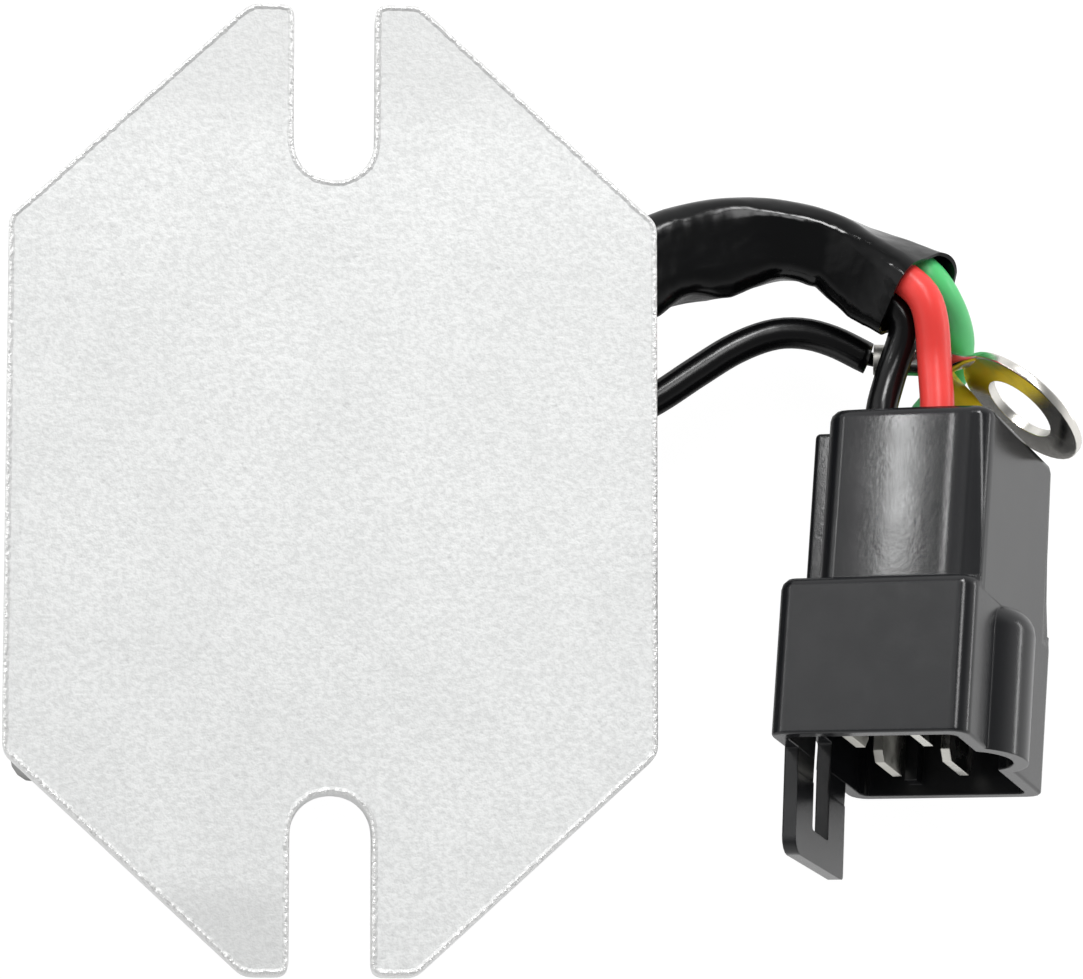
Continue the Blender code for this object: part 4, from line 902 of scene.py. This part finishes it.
def creases(share, angle):
    """How far the ridges and dents lift the sleeve at a share of its length, by angle."""
    total = np.zeros_like(angle)
    for place, degrees, length, width, height, slant in CREASES:
        along = (share - place) / length
        centre = math.radians(degrees) + math.radians(slant) * along * 0.5
        around = (angle - centre + math.pi) % (2 * math.pi) - math.pi
        total += height * np.exp(-along**2) * np.exp(-((around / math.radians(width)) ** 2))
    return total


def rounded_square(half, radius, count):
    """Points and outward normals round a rounded square."""
    flat = half - radius
    points, normals = [], []
    steps = count // 4
    for quarter in range(4):
        cx = flat if quarter in (0, 3) else -flat
        cy = flat if quarter in (0, 1) else -flat
        for i in range(steps):
            turn = math.pi / 2 * (quarter + i / (steps - 1))
            normals.append((math.cos(turn), math.sin(turn)))
            points.append((cx + radius * normals[-1][0], cy + radius * normals[-1][1]))
    return np.array(points), np.array(normals)


def add_sleeve(finish):
    """Shrink sleeve drawn over the wires, creased inside its bend and open at its mouth."""
    line, side, up, share = bundle()
    keep = share >= -SLEEVE_SLACK
    line, side, up, share = line[keep], side[keep], up[keep], share[keep]
    side[0] = (0.0, 1.0, 0.0)
    up[0] = (0.0, 0.0, 1.0)
    stations = np.array(SLEEVE_STATIONS)
    outer, normals = rounded_square(*SLEEVE_OUTER, SLEEVE_POINTS)
    inner, _ = rounded_square(*SLEEVE_INNER, SLEEVE_POINTS)
    ahead = line[-1] - line[-3]
    ahead /= np.linalg.norm(ahead)
    rings_out, rings_in = [], []
    for k, s in enumerate(share):
        turn, left, right = (np.interp(s, stations[:, 0], stations[:, i]) for i in (1, 2, 3))
        late = max(0.0, (s - MOUTH_FROM) / (1 - MOUTH_FROM))
        flare = 1 + MOUTH_FLARE * late**2
        c = math.cos(math.radians(turn))
        d = math.sin(math.radians(turn))
        angle = np.arctan2(outer[:, 1] * c + outer[:, 0] * d, outer[:, 0] * c - outer[:, 1] * d)
        swell = np.where(np.cos(angle) > 0, left, right) * np.abs(np.cos(angle)) ** SWELL_POWER
        lump = creases(s, angle)
        reach = MOUTH_REACH * late**2 * np.clip(np.cos(angle + MOUTH_TURN), 0.0, 1.0)
        for shape, rings, depth in ((outer, rings_out, 1.0), (inner, rings_in, INNER_CREASES)):
            q = shape * flare + normals * (lump * depth)[:, None]
            a = q[:, 0] * c - q[:, 1] * d + np.sign(np.cos(angle)) * swell
            b = q[:, 0] * d + q[:, 1] * c
            spots = line[k] + side[k] * a[:, None] + up[k] * b[:, None]
            rings.append(spots + ahead * reach[:, None])
    rings = rings_out + rings_in[::-1]
    faces = ring_faces(len(rings), SLEEVE_POINTS, closed=True)
    sleeve = add_mesh("v_harness_sleeve", np.vstack(rings) * MM, faces, finish)
    return join(sleeve, "harness_sleeve")


def floor_white():
    """White that keeps the object's shadow and stays white to the camera; to bounced light and
    reflections its colour is painted darker near and under the part, as painted shade.
    """
    made = bpy.data.materials.new("floor_white")
    made.use_nodes = True
    made.node_tree.nodes.clear()
    n = Nodes(made.node_tree)
    open_sky = n.add("ShaderNodeAmbientOcclusion")
    open_sky.samples = 4
    open_sky.inputs["Distance"].default_value = SHADOW_REACH
    # Painted shade: the floor's colour for bounces and reflections darkens where the part closes
    # it in, near and under it.
    painted_shade_near_part = n.ramp(open_sky.outputs["AO"], *SHADOW_RANGE)
    diffuse = n.add("ShaderNodeBsdfDiffuse")
    n.link(n.mix(painted_shade_near_part, (0.1,) * 3, (0.88,) * 3), diffuse.inputs["Color"])
    mirrored = n.add("ShaderNodeEmission")
    n.link(n.mix(painted_shade_near_part, (0.06,) * 3, (0.95,) * 3), mirrored.inputs["Color"])
    bounced = n.either(n.ray_is("Glossy"), diffuse.outputs[0], mirrored.outputs[0])
    shade = n.add("ShaderNodeBsdfDiffuse")
    n.feed(shade.inputs["Color"], (0.12,) * 3)
    glow = n.add("ShaderNodeEmission")
    glow.inputs["Strength"].default_value = 0.97
    seen = n.add("ShaderNodeAddShader")
    n.link(shade.outputs[0], seen.inputs[0])
    n.link(glow.outputs[0], seen.inputs[1])
    out = n.add("ShaderNodeOutputMaterial")
    n.link(n.either(n.ray_is("Camera"), bounced, seen.outputs[0]), out.inputs["Surface"])
    return made


def add_stage():
    """The floor that the part lies on."""
    bpy.ops.mesh.primitive_plane_add(size=FLOOR_SIZE, location=(0.0, 0.0, -FLOOR_DROP))
    floor = bpy.context.object
    floor.name = "floor"
    floor.data.materials.append(floor_white())
    floor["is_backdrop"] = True


def add_world():
    """A studio tent, dim overhead and brighter low down and to the left."""
    world = bpy.data.worlds.new("studio")
    bpy.context.scene.world = world
    world.use_nodes = True
    world.node_tree.nodes.clear()
    n = Nodes(world.node_tree)
    at = n.add("ShaderNodeTexCoord").outputs["Generated"]
    height = n.ramp(n.dot(at, (0.0, 0.0, 1.0)), *TENT_HEIGHTS, *TENT_LEVELS)
    left = n.ramp(n.dot(at, LEFT_GLOW), *LEFT_GLOW_RANGE, 0.0, LEFT_GLOW_LEVEL)
    tent = n.add("ShaderNodeBackground")
    n.link(n.math("ADD", height, left), tent.inputs["Strength"])
    white = n.add("ShaderNodeBackground")
    for background in (tent, white):
        n.feed(background.inputs["Color"], (1.0,) * 3)
    out = n.add("ShaderNodeOutputWorld")
    both = n.either(n.ray_is("Camera"), tent.outputs[0], white.outputs[0])
    n.link(both, out.inputs["Surface"])


def add_lamp(name, toward, across, size, radiance):
    """A softbox in a direction from the connector's neck, its width along another one."""
    data = bpy.data.lights.new(name, "AREA")
    data.shape = "RECTANGLE"
    data.size, data.size_y = size
    data.energy = radiance * math.pi * size[0] * size[1]
    light = bpy.data.objects.new(name, data)
    away = Vector(toward).normalized()
    width = (Vector(across) - away * away.dot(Vector(across))).normalized()
    turn = Matrix((width, away.cross(width), away)).transposed().to_4x4()
    place = Vector(LAMPS_MIDDLE) * MM + away * LAMP_DISTANCE
    light.matrix_world = Matrix.Translation(place) @ turn
    bpy.context.scene.collection.objects.link(light)


def dress():
    """The finishes of all rigid pieces."""
    looks = finishes()
    for node, key in KEPT.items():
        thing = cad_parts[node]
        thing.data.materials.clear()
        thing.data.materials.append(looks[key])
    for node, (slot, key) in REFINED.items():
        refined(node, looks[key])
    add_housing(looks["cast"])
    add_plate(looks["plate"])
    add_connector(looks["plastic"])
    return looks


def plain_lists(value):
    """Bounds as lists that json can write."""
    if isinstance(value, dict):
        return {k: plain_lists(v) for k, v in value.items()}
    if hasattr(value, "__len__") and not isinstance(value, str):
        return [plain_lists(v) for v in value]
    return value


add_camera()
looks = dress()
cords = add_wires(looks)
add_sleeve(looks["sleeve"])
add_stage()
add_world()
for name, lamp in LAMPS.items():
    add_lamp(name, *lamp)

{"cad": plain_lists(BOUNDS_BEFORE), "scene": plain_lists(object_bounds())}
